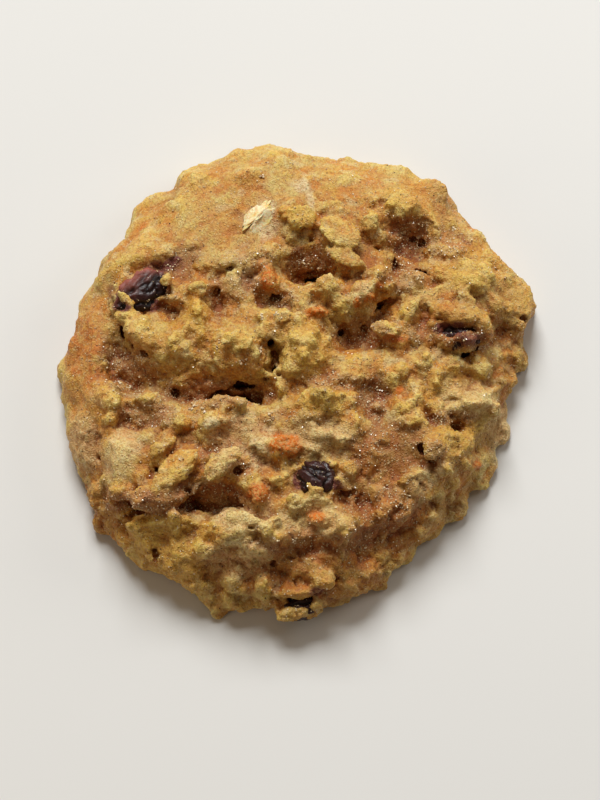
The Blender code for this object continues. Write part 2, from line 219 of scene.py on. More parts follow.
# Holes and crevices that show: x, y, length, width, turn in degrees, depth.
HOLES = (
    (-19.8, -4.4, 1.4, 2.0, 10, 1.6),
    (-8.8, -3.4, 4.8, 2.2, 0, 2.6),
    (-5.4, -2.2, 2.4, 1.1, 35, 1.8),
    (-4.0, -0.6, 1.4, 2.6, 0, 2.4),
    (-3.3, -1.4, 1.5, 1.5, 0, 2.2),
    (-3.4, 1.0, 1.1, 1.6, 0, 2.0),
    (-4.3, 3.7, 1.7, 2.6, 10, 2.6),
    (-5.5, 5.5, 0.9, 0.9, 0, 1.2),
    (-29.2, 7.5, 2.2, 0.9, -15, 1.4),
    (-28.3, 5.8, 1.1, 3.4, 0, 2.2),
    (-26.9, 3.7, 2.6, 1.0, -40, 1.8),
    (-24.6, 2.2, 2.8, 1.1, -30, 1.8),
    (-33.2, -3.6, 0.9, 0.8, 0, 1.0),
    (-31.0, -4.3, 0.8, 0.7, 0, 0.9),
    (-32.2, -5.6, 0.8, 0.7, 0, 0.9),
    (-31.8, -7.8, 0.7, 0.7, 0, 0.8),
    (-29.7, -11.0, 1.0, 0.8, 0, 1.0),
    (-30.2, -14.6, 0.9, 0.8, 0, 1.0),
    (-31.5, -15.3, 2.5, 1.5, 10, 1.2),
    (-22.3, -7.8, 0.9, 0.8, 0, 1.2),
    (-26.5, -6.2, 0.9, 0.8, 0, 1.2),
    (-25.3, -16.4, 0.8, 0.7, 0, 0.9),
    (-22.3, -17.3, 1.2, 1.5, 0, 1.4),
    (-17.4, -20.6, 2.0, 1.3, 4, 1.4),
    (-9.6, -17.4, 2.0, 1.8, 0, 2.0),
    (-16.0, -16.0, 1.0, 1.5, 0, 1.2),
    (-16.8, -14.8, 0.7, 0.7, 0, 0.9),
    (-13.3, -13.8, 1.8, 0.7, 60, 1.0),
    (-11.2, -10.3, 0.7, 0.7, 0, 0.8),
    (-18.5, -18.3, 0.8, 0.8, 0, 1.0),
    (-6.4, -18.3, 0.8, 0.8, 0, 1.0),
    (-27.0, -25.3, 0.8, 1.2, 0, 1.1),
    (-22.5, -31.5, 0.9, 3.4, 5, 2.0),
    (-12.8, -28.3, 1.5, 1.0, 0, 1.3),
    (-7.2, -26.6, 2.0, 1.0, 0, 1.3),
    (2.0, 15.0, 3.2, 1.4, 12, 2.6),
    (-7.6, 11.2, 3.0, 0.9, -10, 1.4),
    (-4.0, 11.7, 3.0, 1.5, 0, 1.8),
    (-10.3, 9.1, 0.8, 0.8, 0, 1.0),
    (-12.0, 10.3, 0.8, 0.8, 0, 1.0),
    (-13.0, 13.0, 1.0, 3.0, 0, 1.8),
    (-11.0, 16.7, 2.0, 1.5, 0, 1.4),
    (-20.0, 8.3, 1.2, 1.2, 0, 1.3),
    (-22.5, 7.0, 0.8, 0.8, 0, 1.0),
    (-18.7, 16.3, 0.6, 0.6, 0, 0.8),
    (-33.7, 5.4, 0.7, 0.7, 0, 0.8),
    (15.6, 18.0, 1.3, 3.4, 0, 2.6),
    (20.0, 21.5, 2.2, 1.4, 30, 1.8),
    (18.4, 22.2, 1.6, 1.2, 0, 1.4),
    (19.8, 16.5, 4.6, 1.3, -33, 2.4),
    (6.8, 5.8, 2.2, 1.8, 20, 1.6),
    (10.3, 6.6, 1.2, 1.6, 0, 1.2),
    (13.0, 10.5, 3.6, 1.8, 40, 2.0),
    (15.2, 8.0, 1.8, 0.8, 0, 1.4),
    (14.2, 15.2, 0.8, 4.2, 0, 1.6),
    (13.6, 2.8, 0.7, 0.7, 0, 0.8),
    (4.0, 3.9, 0.7, 0.7, 0, 0.8),
    (9.9, 16.0, 1.5, 0.8, 0, 1.0),
    (7.0, 16.0, 0.7, 0.7, 0, 0.8),
    (2.6, 25.0, 0.8, 1.0, 0, 1.0),
    (8.0, 26.6, 0.6, 0.6, 0, 0.7),
    (7.8, 24.5, 0.8, 1.5, 0, 0.9),
    (6.2, 20.5, 0.7, 0.7, 0, 0.8),
    (13.5, 28.7, 1.5, 2.0, 0, 0.9),
    (12.2, 24.0, 0.6, 2.0, 0, 0.8),
    (12.8, 20.5, 2.0, 1.0, 0, 1.2),
    (1.9, 22.2, 0.8, 2.0, 0, 1.0),
    (-8.7, 24.8, 0.8, 0.8, 0, 0.9),
    (-7.3, 21.8, 0.8, 0.8, 0, 0.9),
    (-2.7, 22.2, 1.6, 0.8, 0, 1.0),
    (-16.0, 28.4, 0.6, 0.6, 0, 0.7),
    (-13.5, 28.8, 0.6, 0.6, 0, 0.7),
    (-4.5, 33.8, 0.6, 0.6, 0, 0.7),
    (-8.5, 34.2, 0.6, 0.6, 0, 0.7),
    (22.5, 8.0, 2.6, 0.8, -20, 1.4),
    (21.2, 9.2, 0.8, 0.8, 0, 1.0),
    (31.0, 8.0, 1.2, 1.0, 0, 1.2),
    (26.5, 11.2, 2.8, 0.7, -40, 0.9),
    (33.7, 3.9, 0.6, 0.6, 0, 0.7),
    (36.5, 8.3, 2.0, 1.6, 0, 1.6),
    (25.2, 3.7, 2.0, 2.0, 0, 2.2),
    (3.7, -2.1, 1.3, 0.7, 0, 1.0),
    (0.8, -3.5, 1.8, 0.5, 33, 0.8),
    (7.2, -3.1, 3.6, 0.6, -6, 0.9),
    (1.5, -9.0, 2.5, 1.0, 0, 1.1),
    (5.2, -8.9, 0.7, 0.7, 0, 0.8),
    (3.7, -13.8, 0.7, 0.7, 0, 0.8),
    (6.3, -14.6, 0.8, 0.7, 0, 0.9),
    (9.0, -16.5, 0.7, 0.7, 0, 0.8),
    (9.8, -13.5, 0.7, 0.7, 0, 0.8),
    (13.9, -7.6, 1.0, 0.8, 0, 1.3),
    (12.7, -14.0, 1.6, 0.6, 30, 0.8),
    (20.2, -3.9, 0.7, 0.7, 0, 0.8),
    (20.6, 0.6, 0.7, 0.7, 0, 0.8),
    (28.3, -3.6, 2.0, 0.6, 0, 0.8),
    (20.7, -7.3, 1.2, 0.7, 0, 1.2),
    (24.3, -8.6, 3.5, 1.2, 0, 2.4),
    (24.3, -11.8, 0.7, 0.7, 0, 0.8),
    (23.5, -13.6, 1.0, 0.8, 0, 1.0),
    (19.4, -14.0, 1.3, 2.6, -30, 1.8),
    (21.0, -16.3, 2.6, 1.2, -45, 1.8),
    (23.5, -18.0, 0.9, 0.8, 0, 1.0),
    (19.3, -19.7, 4.6, 0.9, 47, 1.6),
    (32.0, -1.2, 0.6, 0.6, 0, 0.7),
    (30.6, -11.6, 0.7, 0.7, 0, 0.8),
    (7.5, -21.3, 4.5, 1.5, 0, 1.6),
    (14.0, -25.5, 1.2, 0.8, 0, 1.1),
    (16.9, -21.8, 0.7, 0.7, 0, 0.8),
    (13.7, -22.5, 0.7, 0.7, 0, 0.8),
    (-4.0, -32.9, 1.2, 2.0, 0, 1.6),
    (-8.2, -33.4, 1.5, 0.7, 0, 1.0),
    (-6.0, -31.0, 0.9, 0.8, 0, 1.0),
    (1.8, -35.8, 1.2, 1.2, 0, 1.2),
    (5.9, -32.0, 0.9, 0.8, 0, 1.0),
    (12.0, -30.8, 1.2, 0.9, 0, 1.1),
    (16.3, -29.3, 1.2, 0.9, 0, 1.1),
    (-3.5, -35.4, 0.9, 0.8, 0, 1.0),
    (-30.3, -25.5, 0.9, 0.8, 0, 1.0),
)

# Fine, smoother crust: x, y, length, width, turn in degrees, strength.
FINE_CRUST = (
    (25.5, 32.0, 11.0, 10.0, 0, 1.0),
    (38.0, 10.0, 8.0, 30.0, 10, 0.6),
    (-14.0, 37.0, 26.0, 11.0, 20, 1.0),
    (6.0, 38.0, 26.0, 9.0, -5, 0.9),
    (-28.0, 28.0, 22.0, 12.0, 45, 1.0),
    (-37.0, 12.0, 11.0, 28.0, -15, 1.0),
    (24.0, 33.0, 22.0, 10.0, -40, 0.7),
    (36.0, 20.0, 10.0, 22.0, 20, 0.6),
    (-35.0, 1.0, 8.0, 24.0, 0, 1.0),
    (-31.0, 17.0, 22.0, 11.0, 60, 1.0),
    (-21.0, 27.0, 20.0, 10.0, 40, 1.0),
    (-9.0, 31.5, 22.0, 11.0, 12, 1.0),
    (6.0, 33.0, 22.0, 9.0, -4, 0.8),
    (21.0, 30.0, 14.0, 8.0, -30, 0.7),
    (-12.0, 23.5, 14.0, 9.0, 20, 0.8),
    (14.5, -14.0, 12.0, 9.0, 0, 0.7),
    (-27.7, -14.8, 7.5, 8.5, 0, 0.8),
    (-36.0, -12.0, 7.0, 12.0, 0, 0.6),
)

# Curled oat rims: x, y, radius, first and last angle in degrees, width.
CURLS = (
    (4.6, 31.2, 3.3, 118, 236, 0.75),
    (5.0, 24.2, 3.2, 130, 205, 0.6),
    (12.9, -13.6, 1.5, 60, 240, 0.55),
    (-13.2, -13.6, 1.6, 20, 150, 0.6),
)

# Oat flakes and lumps finer than the solid's: x, y, length, width, thickness, turn, tilt in degrees, lift.
FLAKES = (
    (0.3, 25.6, 4.8, 4.4, 1.2, 10, 6, 0.35),
    (6.5, 23.0, 7.4, 5.6, 1.2, -30, -14, 0.4),
    (-19.2, -17.0, 9.0, 4.6, 2.0, 46, 10, -0.2),
    (-12.0, -16.2, 7.4, 4.0, 1.8, 42, 10, -0.2),
    (-8.6, -25.6, 6.4, 3.6, 1.2, -18, 12, 0.5),
    (-27.4, 8.6, 4.6, 2.4, 1.6, 5, 0, 0.3),
    (-28.6, 12.3, 1.6, 1.2, 1.2, 20, 0, 1.3),
    (1.5, -19.9, 1.3, 1.5, 1.3, 15, 0, 1.0),
    (-13.7, -9.6, 2.2, 2.0, 1.4, 0, 0, 0.6),
    (21.0, -20.5, 6.0, 2.6, 1.0, 50, 14, 0.4),
    (17.5, -18.6, 5.4, 2.2, 1.0, 30, -16, 0.5),
    (13.6, 6.4, 5.4, 2.8, 1.8, -10, 6, 0.0),
    (7.4, 18.6, 7.4, 3.0, 1.8, -24, 6, 0.0),
    (26.6, 11.8, 4.8, 1.6, 0.9, -35, 0, 0.4),
    (22.6, 16.0, 3.0, 2.2, 1.2, 0, 0, 0.4),
    (-21.0, 20.0, 3.4, 2.8, 1.2, 30, 0, 0.4),
    (12.4, -6.8, 2.0, 1.6, 1.2, 0, 0, 0.5),
    (-17.5, -4.2, 8.4, 4.4, 3.6, 0, 0, -0.2),
    (-14.4, -3.0, 6.0, 3.0, 3.0, 0, 0, -0.1),
    (-11.0, -6.0, 6.0, 2.4, 2.4, 0, 0, -0.4),
    (-18.6, -2.4, 4.0, 2.4, 2.4, 10, 0, 0.0),
    (-22.0, -21.8, 10.0, 4.6, 3.6, 0, 0, -0.2),
    (-13.5, -21.4, 8.0, 4.2, 3.0, 0, 0, -0.3),
    (-27.6, -21.0, 5.0, 3.0, 2.6, 0, 0, 0.0),
    (-17.4, -20.2, 5.0, 2.6, 2.6, 0, 0, -0.2),
    (-26.5, -0.5, 8.0, 3.4, 2.4, -20, 0, -0.4),
    (-23.5, -8.6, 7.0, 3.0, 2.4, 0, 0, -0.4),
    (1.8, 18.2, 5.0, 3.4, 2.0, 10, 0, -0.4),
    (25.0, 8.6, 9.0, 3.6, 3.0, -8, 0, 0.9),
    (29.6, 6.4, 3.4, 5.0, 2.6, 10, 0, 0.6),
    (21.6, 6.6, 2.6, 3.4, 2.2, 0, 0, 0.6),
    (26.4, 4.6, 4.4, 2.6, 2.0, 20, 0, 0.8),
    (23.4, 4.2, 3.0, 2.2, 1.8, -20, 0, 0.6),
    (-1.2, -41.2, 5.4, 2.6, 2.2, 14, 0, 0.3),
    (-0.4, -37.6, 7.6, 2.2, 2.4, 4, 0, 0.9),
    (2.8, -39.8, 3.0, 1.8, 1.8, 20, 0, 0.9),
    (-27.8, 11.6, 2.2, 1.8, 1.6, 50, 0, 0.9),
    (-26.9, 10.7, 1.6, 1.4, 1.4, 10, 0, 0.9),
    (-21.2, 14.4, 2.4, 2.2, 1.8, 20, 0, 0.8),
    (-22.4, 11.0, 2.2, 2.6, 1.8, 20, 0, 0.6),
    (2.8, -20.8, 2.2, 1.6, 1.4, 30, 0, 0.7),
    (5.4, -16.6, 1.8, 1.6, 1.6, 0, 0, 0.8),
    (0.3, -16.0, 1.8, 1.4, 1.4, 40, 0, 0.8),
)

# Crisp oat flakes that lie on the crust: x, y, length, width, turn, tilt in degrees, lift.
CRISP_FLAKES = (
    (-6.9, 26.5, 6.8, 2.6, 50, -18, 0.16),
    (-5.9, 24.9, 6.2, 2.4, 50, 22, 0.06),
)

# Raisin skin that shows through the crust: x, y, length, width, turn in degrees, strength.
SKINS = (
    (-20.9, 17.5, 4.4, 1.9, 32, 1.0),
    (-23.0, 17.2, 3.6, 2.0, 10, 0.7),
    (-28.6, 10.2, 3.2, 1.6, -4, 1.0),
    (-23.6, 10.4, 2.8, 2.2, 0, 1.0),
    (-30.2, 12.8, 1.4, 2.6, 0, 0.5),
    (0.2, -18.8, 2.2, 3.6, 0, 0.9),
    (5.4, -19.6, 3.0, 1.8, -30, 0.9),
    (24.4, 6.3, 5.4, 2.2, -4, 0.9),
    (26.6, 4.6, 4.6, 2.2, 0, 0.7),
    (2.6, -37.4, 2.6, 1.6, 0, 0.7),
)

# Bright orange bits: x, y, length, width, turn in degrees, how red.
ORANGE_BITS = (
    (-2.1, -13.3, 5.6, 3.8, -5, 0.3),
    (-6.3, -21.2, 3.3, 3.4, 0, 0.6),
    (-4.8, 15.2, 2.7, 4.4, 5, 0.6),
    (2.9, -25.2, 3.2, 2.1, 0, 0.2),
    (2.9, 9.4, 4.2, 1.8, 0, 0.3),
    (9.2, 10.8, 1.2, 1.8, 0, 0.2),
    (12.9, 13.7, 1.5, 1.5, 0, 0.9),
    (11.4, 11.7, 2.4, 1.6, 40, 0.3),
    (15.5, 4.7, 4.0, 1.3, -5, 1.0),
    (15.8, -4.0, 1.2, 1.5, 0, 0.4),
    (-25.5, 24.5, 2.0, 1.2, 45, 0.2),
    (28.2, -16.7, 1.6, 1.4, 0, 0.6),
)

# Browner and more orange crust: x, y, length, width, turn in degrees, strength.
TOASTED = (
    (-34.0, -3.0, 8.0, 12.0, 0, 0.5),
    (-33.5, -13.5, 8.0, 11.0, 0, 0.6),
    (34.5, -13.5, 8.0, 10.0, 0, 0.45),
    (-20.0, -34.0, 14.0, 9.0, 0, 0.35),
    (-34.5, 3.5, 7.0, 12.0, 5, 1.0),
    (-33.5, 10.0, 5.0, 7.0, 30, 0.7),
    (-34.0, -8.5, 5.0, 6.0, 0, 0.6),
    (-27.0, 22.7, 3.0, 2.2, 45, 0.6),
    (-22.8, 27.0, 3.2, 2.0, 40, 0.6),
    (-17.0, 23.5, 3.0, 2.2, 40, 0.7),
    (-14.3, 26.3, 4.0, 2.0, 40, 0.8),
    (-13.0, 30.8, 4.0, 1.6, 30, 0.9),
    (-11.0, 23.0, 3.2, 1.6, 0, 0.9),
    (-7.7, 30.5, 4.0, 1.8, 20, 0.9),
    (-5.3, 29.0, 3.0, 1.6, 40, 0.8),
    (-9.5, 33.3, 3.4, 1.8, 20, 0.8),
    (2.8, 31.5, 1.6, 1.8, 0, 0.9),
    (7.3, 31.0, 2.2, 1.2, 0, 0.8),
    (11.2, 32.0, 3.0, 1.4, 0, 0.8),
    (27.0, 21.0, 3.0, 2.0, 0, 0.7),
    (19.0, 29.5, 6.0, 4.0, 0, 0.5),
    (33.0, 18.0, 4.0, 5.0, 30, 0.6),
    (-24.0, 4.0, 7.0, 3.0, -20, 0.6),
    (-9.0, 0.0, 7.0, 3.6, 0, 0.7),
    (-19.0, 14.8, 4.0, 2.0, 20, 0.6),
    (14.5, -25.0, 4.0, 2.4, 0, 0.5),
    (25.0, 30.0, 11.0, 11.0, 0, 0.4),
    (-17.0, -24.6, 4.0, 1.6, 0, 0.5),
    (-11.0, -13.0, 4.0, 1.6, 30, 0.5),
)

# Moist purple-brown recesses with sugar: x, y, length, width, turn in degrees, strength.
STAINED = (
    (-8.0, 19.0, 9.0, 6.0, 0, 0.5),
    (13.0, -24.0, 13.0, 8.0, 20, 0.6),
    (-14.0, -4.6, 17.0, 4.6, 0, 1.0),
    (-27.0, 0.2, 11.0, 4.8, -20, 1.0),
    (-27.5, -3.2, 7.0, 3.4, -20, 0.7),
    (-24.0, -8.0, 9.5, 4.4, 0, 0.9),
    (-20.0, -22.6, 21.0, 4.6, 0, 1.0),
    (-15.0, -21.0, 11.0, 3.4, 0, 1.0),
    (1.8, 17.9, 7.0, 5.4, 10, 1.0),
    (17.8, 22.6, 7.0, 7.4, 20, 1.0),
    (17.6, 15.4, 7.6, 5.0, 0, 0.8),
    (24.4, 21.0, 6.0, 7.0, 0, 0.5),
    (11.8, -5.6, 5.4, 8.0, 0, 1.0),
    (14.0, -14.0, 12.0, 9.0, 0, 0.6),
    (26.4, 4.8, 9.0, 4.4, 0, 0.9),
    (10.2, 6.0, 9.0, 5.0, 0, 0.8),
    (6.0, -2.6, 11.0, 2.8, -5, 0.8),
    (-1.0, -8.4, 12.0, 2.2, 0, 0.4),
    (-9.5, 13.4, 8.0, 4.6, 10, 0.7),
    (-13.0, 12.8, 3.0, 6.0, 0, 0.8),
    (-3.6, 11.4, 6.0, 3.0, 0, 0.9),
    (-19.0, 18.4, 7.0, 4.6, 30, 0.7),
    (-20.5, 11.0, 3.4, 5.4, 0, 0.6),
    (20.0, 5.6, 8.0, 3.0, -10, 0.6),
    (21.0, -15.0, 4.0, 6.0, -30, 0.8),
    (24.0, -8.6, 8.0, 2.6, 0, 0.8),
    (7.6, -21.4, 7.0, 2.4, 0, 0.7),
    (-14.0, -13.8, 3.6, 3.0, 50, 0.7),
    (3.0, -29.6, 20.0, 3.6, 0, 0.7),
    (-9.6, -17.4, 5.0, 3.0, 0, 0.8),
)

# Zones darkened as painted shade, some of it also browner bake: x, y, length, width, turn in degrees,
# strength.
DARKER = (
    (-30.0, -25.0, 10.0, 10.0, 20, 0.5),
    (-34.5, 4.0, 9.0, 12.0, 0, 0.4),
    (12.5, 19.0, 12.0, 9.0, 0, 0.5),
    (-19.0, 17.5, 11.0, 8.0, 0, 0.4),
    (25.0, 7.0, 12.0, 9.0, 0, 0.8),
    (35.0, -2.0, 8.0, 12.0, 0, 0.5),
    (-34.0, 0.0, 7.0, 14.0, 0, 0.4),
    (23.0, -13.0, 10.0, 9.0, 0, 0.4),
    (12.5, -22.0, 14.0, 11.0, 0, 0.9),
    (34.5, 9.0, 9.0, 12.0, 0, 0.6),
    (-21.0, -13.0, 9.0, 6.0, 40, 0.4),
    (-33.0, 20.0, 12.0, 8.0, 60, 0.4),
    (14.5, -26.0, 14.0, 6.0, 20, 0.9),
    (20.0, -27.0, 16.0, 6.0, 40, 0.5),
    (4.0, -34.0, 20.0, 11.0, 0, 0.8),
    (-33.0, -25.0, 11.0, 11.0, 20, 1.0),
    (25.0, 31.0, 9.0, 9.0, 0, 0.4),
    (14.0, -14.0, 12.0, 10.0, 0, 0.7),
    (-21.0, -21.5, 22.0, 5.0, 0, 0.6),
    (17.5, 22.0, 8.0, 8.0, 0, 0.6),
    (1.6, 18.0, 7.0, 6.0, 0, 0.6),
    (31.5, 8.5, 7.0, 4.0, 60, 0.5),
    (10.0, -40.0, 30.0, 6.0, 8, 0.6),
    (26.0, 4.6, 9.0, 4.6, 0, 0.6),
)

# Pale cream and yellow oats: x, y, length, width, turn in degrees, strength.
PALE_OATS = (
    (3.0, -12.2, 12.0, 7.0, 0, 0.45),
    (2.0, -25.0, 12.0, 6.0, 0, 0.3),
    (-9.0, -11.5, 11.0, 7.0, 0, 0.35),
    (-8.5, -24.5, 10.0, 6.0, 0, 0.4),
    (-9.0, -32.0, 12.0, 7.0, 0, 0.35),
    (27.0, -6.0, 9.0, 7.0, 0, 0.35),
    (34.0, -12.0, 8.0, 12.0, 0, 0.45),
    (-34.0, -13.0, 6.0, 10.0, 0, 0.35),
    (-6.2, 26.0, 7.0, 3.4, 50, 1.0),
    (-4.6, 23.6, 4.4, 2.4, 55, 0.7),
    (0.5, 31.5, 2.4, 2.6, 0, 0.8),
    (1.7, 29.6, 1.2, 5.0, 12, 0.7),
    (-13.7, -9.6, 2.6, 2.4, 0, 0.7),
    (-8.0, 15.5, 2.6, 3.0, 0, 0.8),
    (-6.0, -15.0, 3.4, 4.4, 0, 0.6),
    (-12.0, -16.0, 6.6, 3.0, 42, 0.2),
    (-28.0, -14.5, 9.0, 5.5, 68, 0.35),
    (20.0, -19.0, 7.0, 3.4, 45, 0.3),
    (10.0, 12.5, 4.6, 3.0, 52, 0.3),
)
YELLOW_OATS = (
    (-20.0, -35.5, 9.0, 7.0, 0, 0.8),
    (2.5, -13.6, 11.0, 9.0, 0, 0.5),
    (3.0, -12.2, 13.0, 8.0, 0, 0.8),
    (-20.0, -32.0, 14.0, 10.0, -8, 1.0),
    (-22.0, -27.0, 16.0, 7.0, -8, 1.0),
    (24.5, -4.5, 10.0, 8.0, 0, 0.8),
    (0.0, 4.0, 8.0, 8.0, 0, 0.8),
    (0.3, 25.6, 4.8, 4.6, 10, 1.0),
    (3.6, -5.6, 9.0, 4.8, 0, 0.9),
    (17.0, 29.2, 7.0, 5.0, 0, 0.7),
    (28.0, 15.4, 9.0, 5.6, 0, 0.7),
    (-16.4, 9.2, 4.4, 7.0, 3, 0.9),
    (-18.8, -28.6, 6.4, 5.0, 0, 0.8),
    (-25.6, -28.6, 5.0, 4.0, 0, 0.5),
    (-22.0, 5.6, 8.0, 5.6, -20, 0.6),
    (-33.0, -8.6, 5.0, 4.0, 0, 0.7),
    (-7.0, -25.5, 9.0, 5.0, -18, 0.6),
    (6.6, -25.2, 8.0, 4.4, 6, 0.6),
    (3.0, -12.0, 8.0, 3.0, 0, 0.5),
    (27.5, -12.0, 8.0, 7.0, 0, 0.5),
    (0.6, 2.6, 8.0, 8.0, 0, 0.5),
    (-9.4, 4.6, 6.0, 4.0, 20, 0.5),
    (22.5, -12.5, 8.0, 3.6, -58, 0.6),
    (34.5, 11.5, 5.0, 6.0, 0, 0.6),
    (27.5, -11.0, 10.0, 8.0, 20, 0.9),
    (28.5, 17.0, 9.0, 8.0, 0, 0.9),
    (-20.0, -28.5, 12.0, 6.0, -10, 0.9),
    (-2.0, -24.0, 10.0, 4.0, 0, 0.6),
    (4.0, -5.0, 8.0, 4.0, 0, 0.9),
)

# Single large sugar grains that glint: x, y.
GLINTS = (
    (-6.0, 33.4), (-6.3, 2.7), (-8.8, 0.9), (-12.8, 3.5), (-3.8, 8.7), (-6.2, 8.5), (-16.7, -7.0),
    (-4.8, -8.7), (12.5, -4.0), (30.3, -1.3), (22.0, 19.8), (24.5, 20.3), (25.5, 24.0), (17.0, 23.4),
    (-28.5, -3.0), (-27.0, -3.6), (-15.0, -7.2), (3.6, 16.8), (1.0, 18.6), (-25.0, 15.2),
)


def reading_shift():
    """How far the source's centring moved its parts, from where the raisins lie now, in metres."""
    moves = []
    for name, (x, y) in RAISIN_PLACES.items():
        low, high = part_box(name)
        middle = (low + high) / 2
        moves.append(Vector((middle.x - x * MM, middle.y - y * MM)))
    return sum(moves, Vector((0.0, 0.0))) / len(moves)


SHIFT = reading_shift()
RAISIN_BOXES = {name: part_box(name) for name in RAISIN_PLACES}


def readings(points):
    """Millimetre places on the reading plane of points that an array holds in metres."""
    x = (points[:, 0] - SHIFT.x) / MM
    y = (points[:, 1] - SHIFT.y) / MM + (points[:, 2] / MM - READING_HEIGHT) * READING_SLOPE
    return x, y


def seen(tree, x, y):
    """Point and normal of the surface that shows at a place on the reading plane."""
    tilt = math.radians(VIEW_ELEVATION)
    towards_eye = Vector((0.0, -math.cos(tilt), math.sin(tilt)))
    start = Vector((x * MM + SHIFT.x, y * MM + SHIFT.y, READING_HEIGHT * MM)) + towards_eye * EYE_REACH
    place, normal, _, _ = tree.ray_cast(start, -towards_eye)
    if place is None:
        place, normal, _, _ = tree.find_nearest(Vector((start.x, start.y, NEAREST_HEIGHT)))
    return place, normal


def patches(x, y, rows, warp):
    """Strength from 0 to 1, at reading places, of the strongest oval patch of some rows."""
    strongest = np.zeros(len(x))
    for centre_x, centre_y, length, width, turn, strength in rows:
        angle = math.radians(turn)
        along = (x - centre_x) * math.cos(angle) + (y - centre_y) * math.sin(angle)
        across = (y - centre_y) * math.cos(angle) - (x - centre_x) * math.sin(angle)
        reach = np.sqrt((2 * along / length) ** 2 + (2 * across / width) ** 2) + warp
        fade = np.clip((PATCH_END - reach) / PATCH_FADE, 0.0, 1.0)
        strongest = np.maximum(strongest, strength * fade * fade * (3 - 2 * fade))
    return strongest


def noise_at(points, grain, offset):
    """Smooth noise from -1 to 1 at points in metres, with a grain in millimetres."""
    scale = 1.0 / (grain * MM)
    shift = Vector((offset, -offset, 2 * offset))
    return np.array([noise.noise(Vector(point) * scale + shift) for point in points])


def pebbles_at(points, grain, offset):
    """Height from 0 in the creases to 1 on top, and a tone of its own, of the pebble at each point."""
    scale = 1.0 / (grain * MM)
    shift = Vector((offset, -offset, 2 * offset))
    noise.seed_set(SEED)
    heights = np.empty(len(points))
    tones = np.empty(len(points))
    for index, point in enumerate(points):
        place = Vector(point) * scale + shift
        distances, centres = noise.voronoi(place + noise.noise_vector(place * 1.3) * PEBBLE_STRAY)
        heights[index] = min(1.0, (distances[1] - distances[0]) / CREASE_WIDTH)
        tones[index] = math.sin(centres[0].dot(TONE_DIRECTION))
    return heights * (2 - heights), tones


def open_sky(points, normals, tree):
    """Share of the sky that each point sees past the dough round it, from 0 in deep holes to 1."""
    rays = []
    for number in range(SKY_RAYS):
        height = (number + 0.5) / SKY_RAYS
        around = number * SPIRAL_ANGLE
        flat = math.sqrt(1 - height * height)
        rays.append(Vector((flat * math.cos(around), flat * math.sin(around), height)))
    share = np.ones(len(points))
    for index, (point, normal) in enumerate(zip(points, normals)):
        facing = Vector(normal)
        start = Vector(point) + facing * SKY_START
        total = 0.02
        free = 0.01
        for ray in rays:
            weight = ray.dot(facing)
            if weight <= GRAZING:
                continue
            total += weight
            if tree.ray_cast(start, ray, SKY_REACH)[0] is None:
                free += weight
        share[index] = free / total
    return share


def neighbour_mean(values, ends, counts):
    """Mean over each vertex's neighbours of one value a vertex."""
    first, second = ends
    total = np.bincount(first, weights=values[second], minlength=len(values))
    total += np.bincount(second, weights=values[first], minlength=len(values))
    return total / counts


def blurred(values, ends, counts, passes):
    """Values that are run together over the surface."""
    for _ in range(passes):
        values = 0.5 * values + 0.5 * neighbour_mean(values, ends, counts)
    return values


def mesh_arrays(mesh):
    """Places and normals of a mesh's vertices, ends of its edges, and neighbours of each vertex."""
    count = len(mesh.vertices)
    points = np.empty(count * 3)
    mesh.vertices.foreach_get("co", points)
    normals = np.empty(count * 3)
    mesh.vertices.foreach_get("normal", normals)
    edges = np.empty(len(mesh.edges) * 2, dtype=np.int32)
    mesh.edges.foreach_get("vertices", edges)
    ends = edges.reshape(-1, 2).T
    counts = np.maximum(1, np.bincount(edges, minlength=count))
    return points.reshape(-1, 3), normals.reshape(-1, 3), ends, counts


def new_piece(name, bm, material):
    """Object at the origin from a bmesh in metres, smooth shaded, with one material."""
    mesh = bpy.data.meshes.new(name)
    bm.to_mesh(mesh)
    bm.free()
    piece = bpy.data.objects.new(name, mesh)
    bpy.context.scene.collection.objects.link(piece)
    mesh.materials.append(material)
    mesh.shade_smooth()
    return piece


def apply_modifier(piece, kind, **settings):
    """Adds one modifier with its settings and applies it."""
    modifier = piece.modifiers.new(kind.lower(), kind)
    for name, value in settings.items():
        setattr(modifier, name, value)
    with bpy.context.temp_override(object=piece, active_object=piece, selected_objects=[piece]):
        bpy.ops.object.modifier_apply(modifier=modifier.name)


def set_attribute(mesh, name, values):
    """One number a vertex, which a material reads by its name."""
    attribute = mesh.attributes.new(name, "FLOAT", "POINT")
    attribute.data.foreach_set("value", np.asarray(values, dtype=np.float32))


def attribute_values(mesh, name):
    """The numbers that set_attribute gave a mesh."""
    values = np.empty(len(mesh.vertices), dtype=np.float32)
    mesh.attributes[name].data.foreach_get("value", values)
    return values


def raisin_piece(node):
    """Name of the piece that replaces a raisin's node."""
    return node.replace("raisin_", "") + "_raisin"


def merged_copy(node):
    """A bmesh copy of a solid of the frame with its loose triangles joined."""
    bm = bmesh.new()
    bm.from_mesh(frame["nodes"][node].data)
    bmesh.ops.remove_doubles(bm, verts=bm.verts, dist=1e-6)
    return bm


def evened(bm, verts, rounds):
    """Smooths some vertices of a bmesh a number of times."""
    for _ in range(rounds):
        bmesh.ops.smooth_vert(bm, verts=verts, factor=0.5, use_axis_x=True, use_axis_y=True,
                              use_axis_z=True)


def standing(place, facing, turn):
    """Placement at a point: +Z the way it faces, +X turned from the world's by some degrees."""
    up = facing.normalized()
    back = up.cross(Vector((1.0, 0.0, 0.0)))
    if back.length < 0.05:
        back = Vector((0.0, 1.0, 0.0))
    back.normalize()
    matrix = Matrix((back.cross(up), back, up)).transposed().to_4x4()
    matrix.translation = place
    return matrix @ Matrix.Rotation(math.radians(turn), 4, "Z")


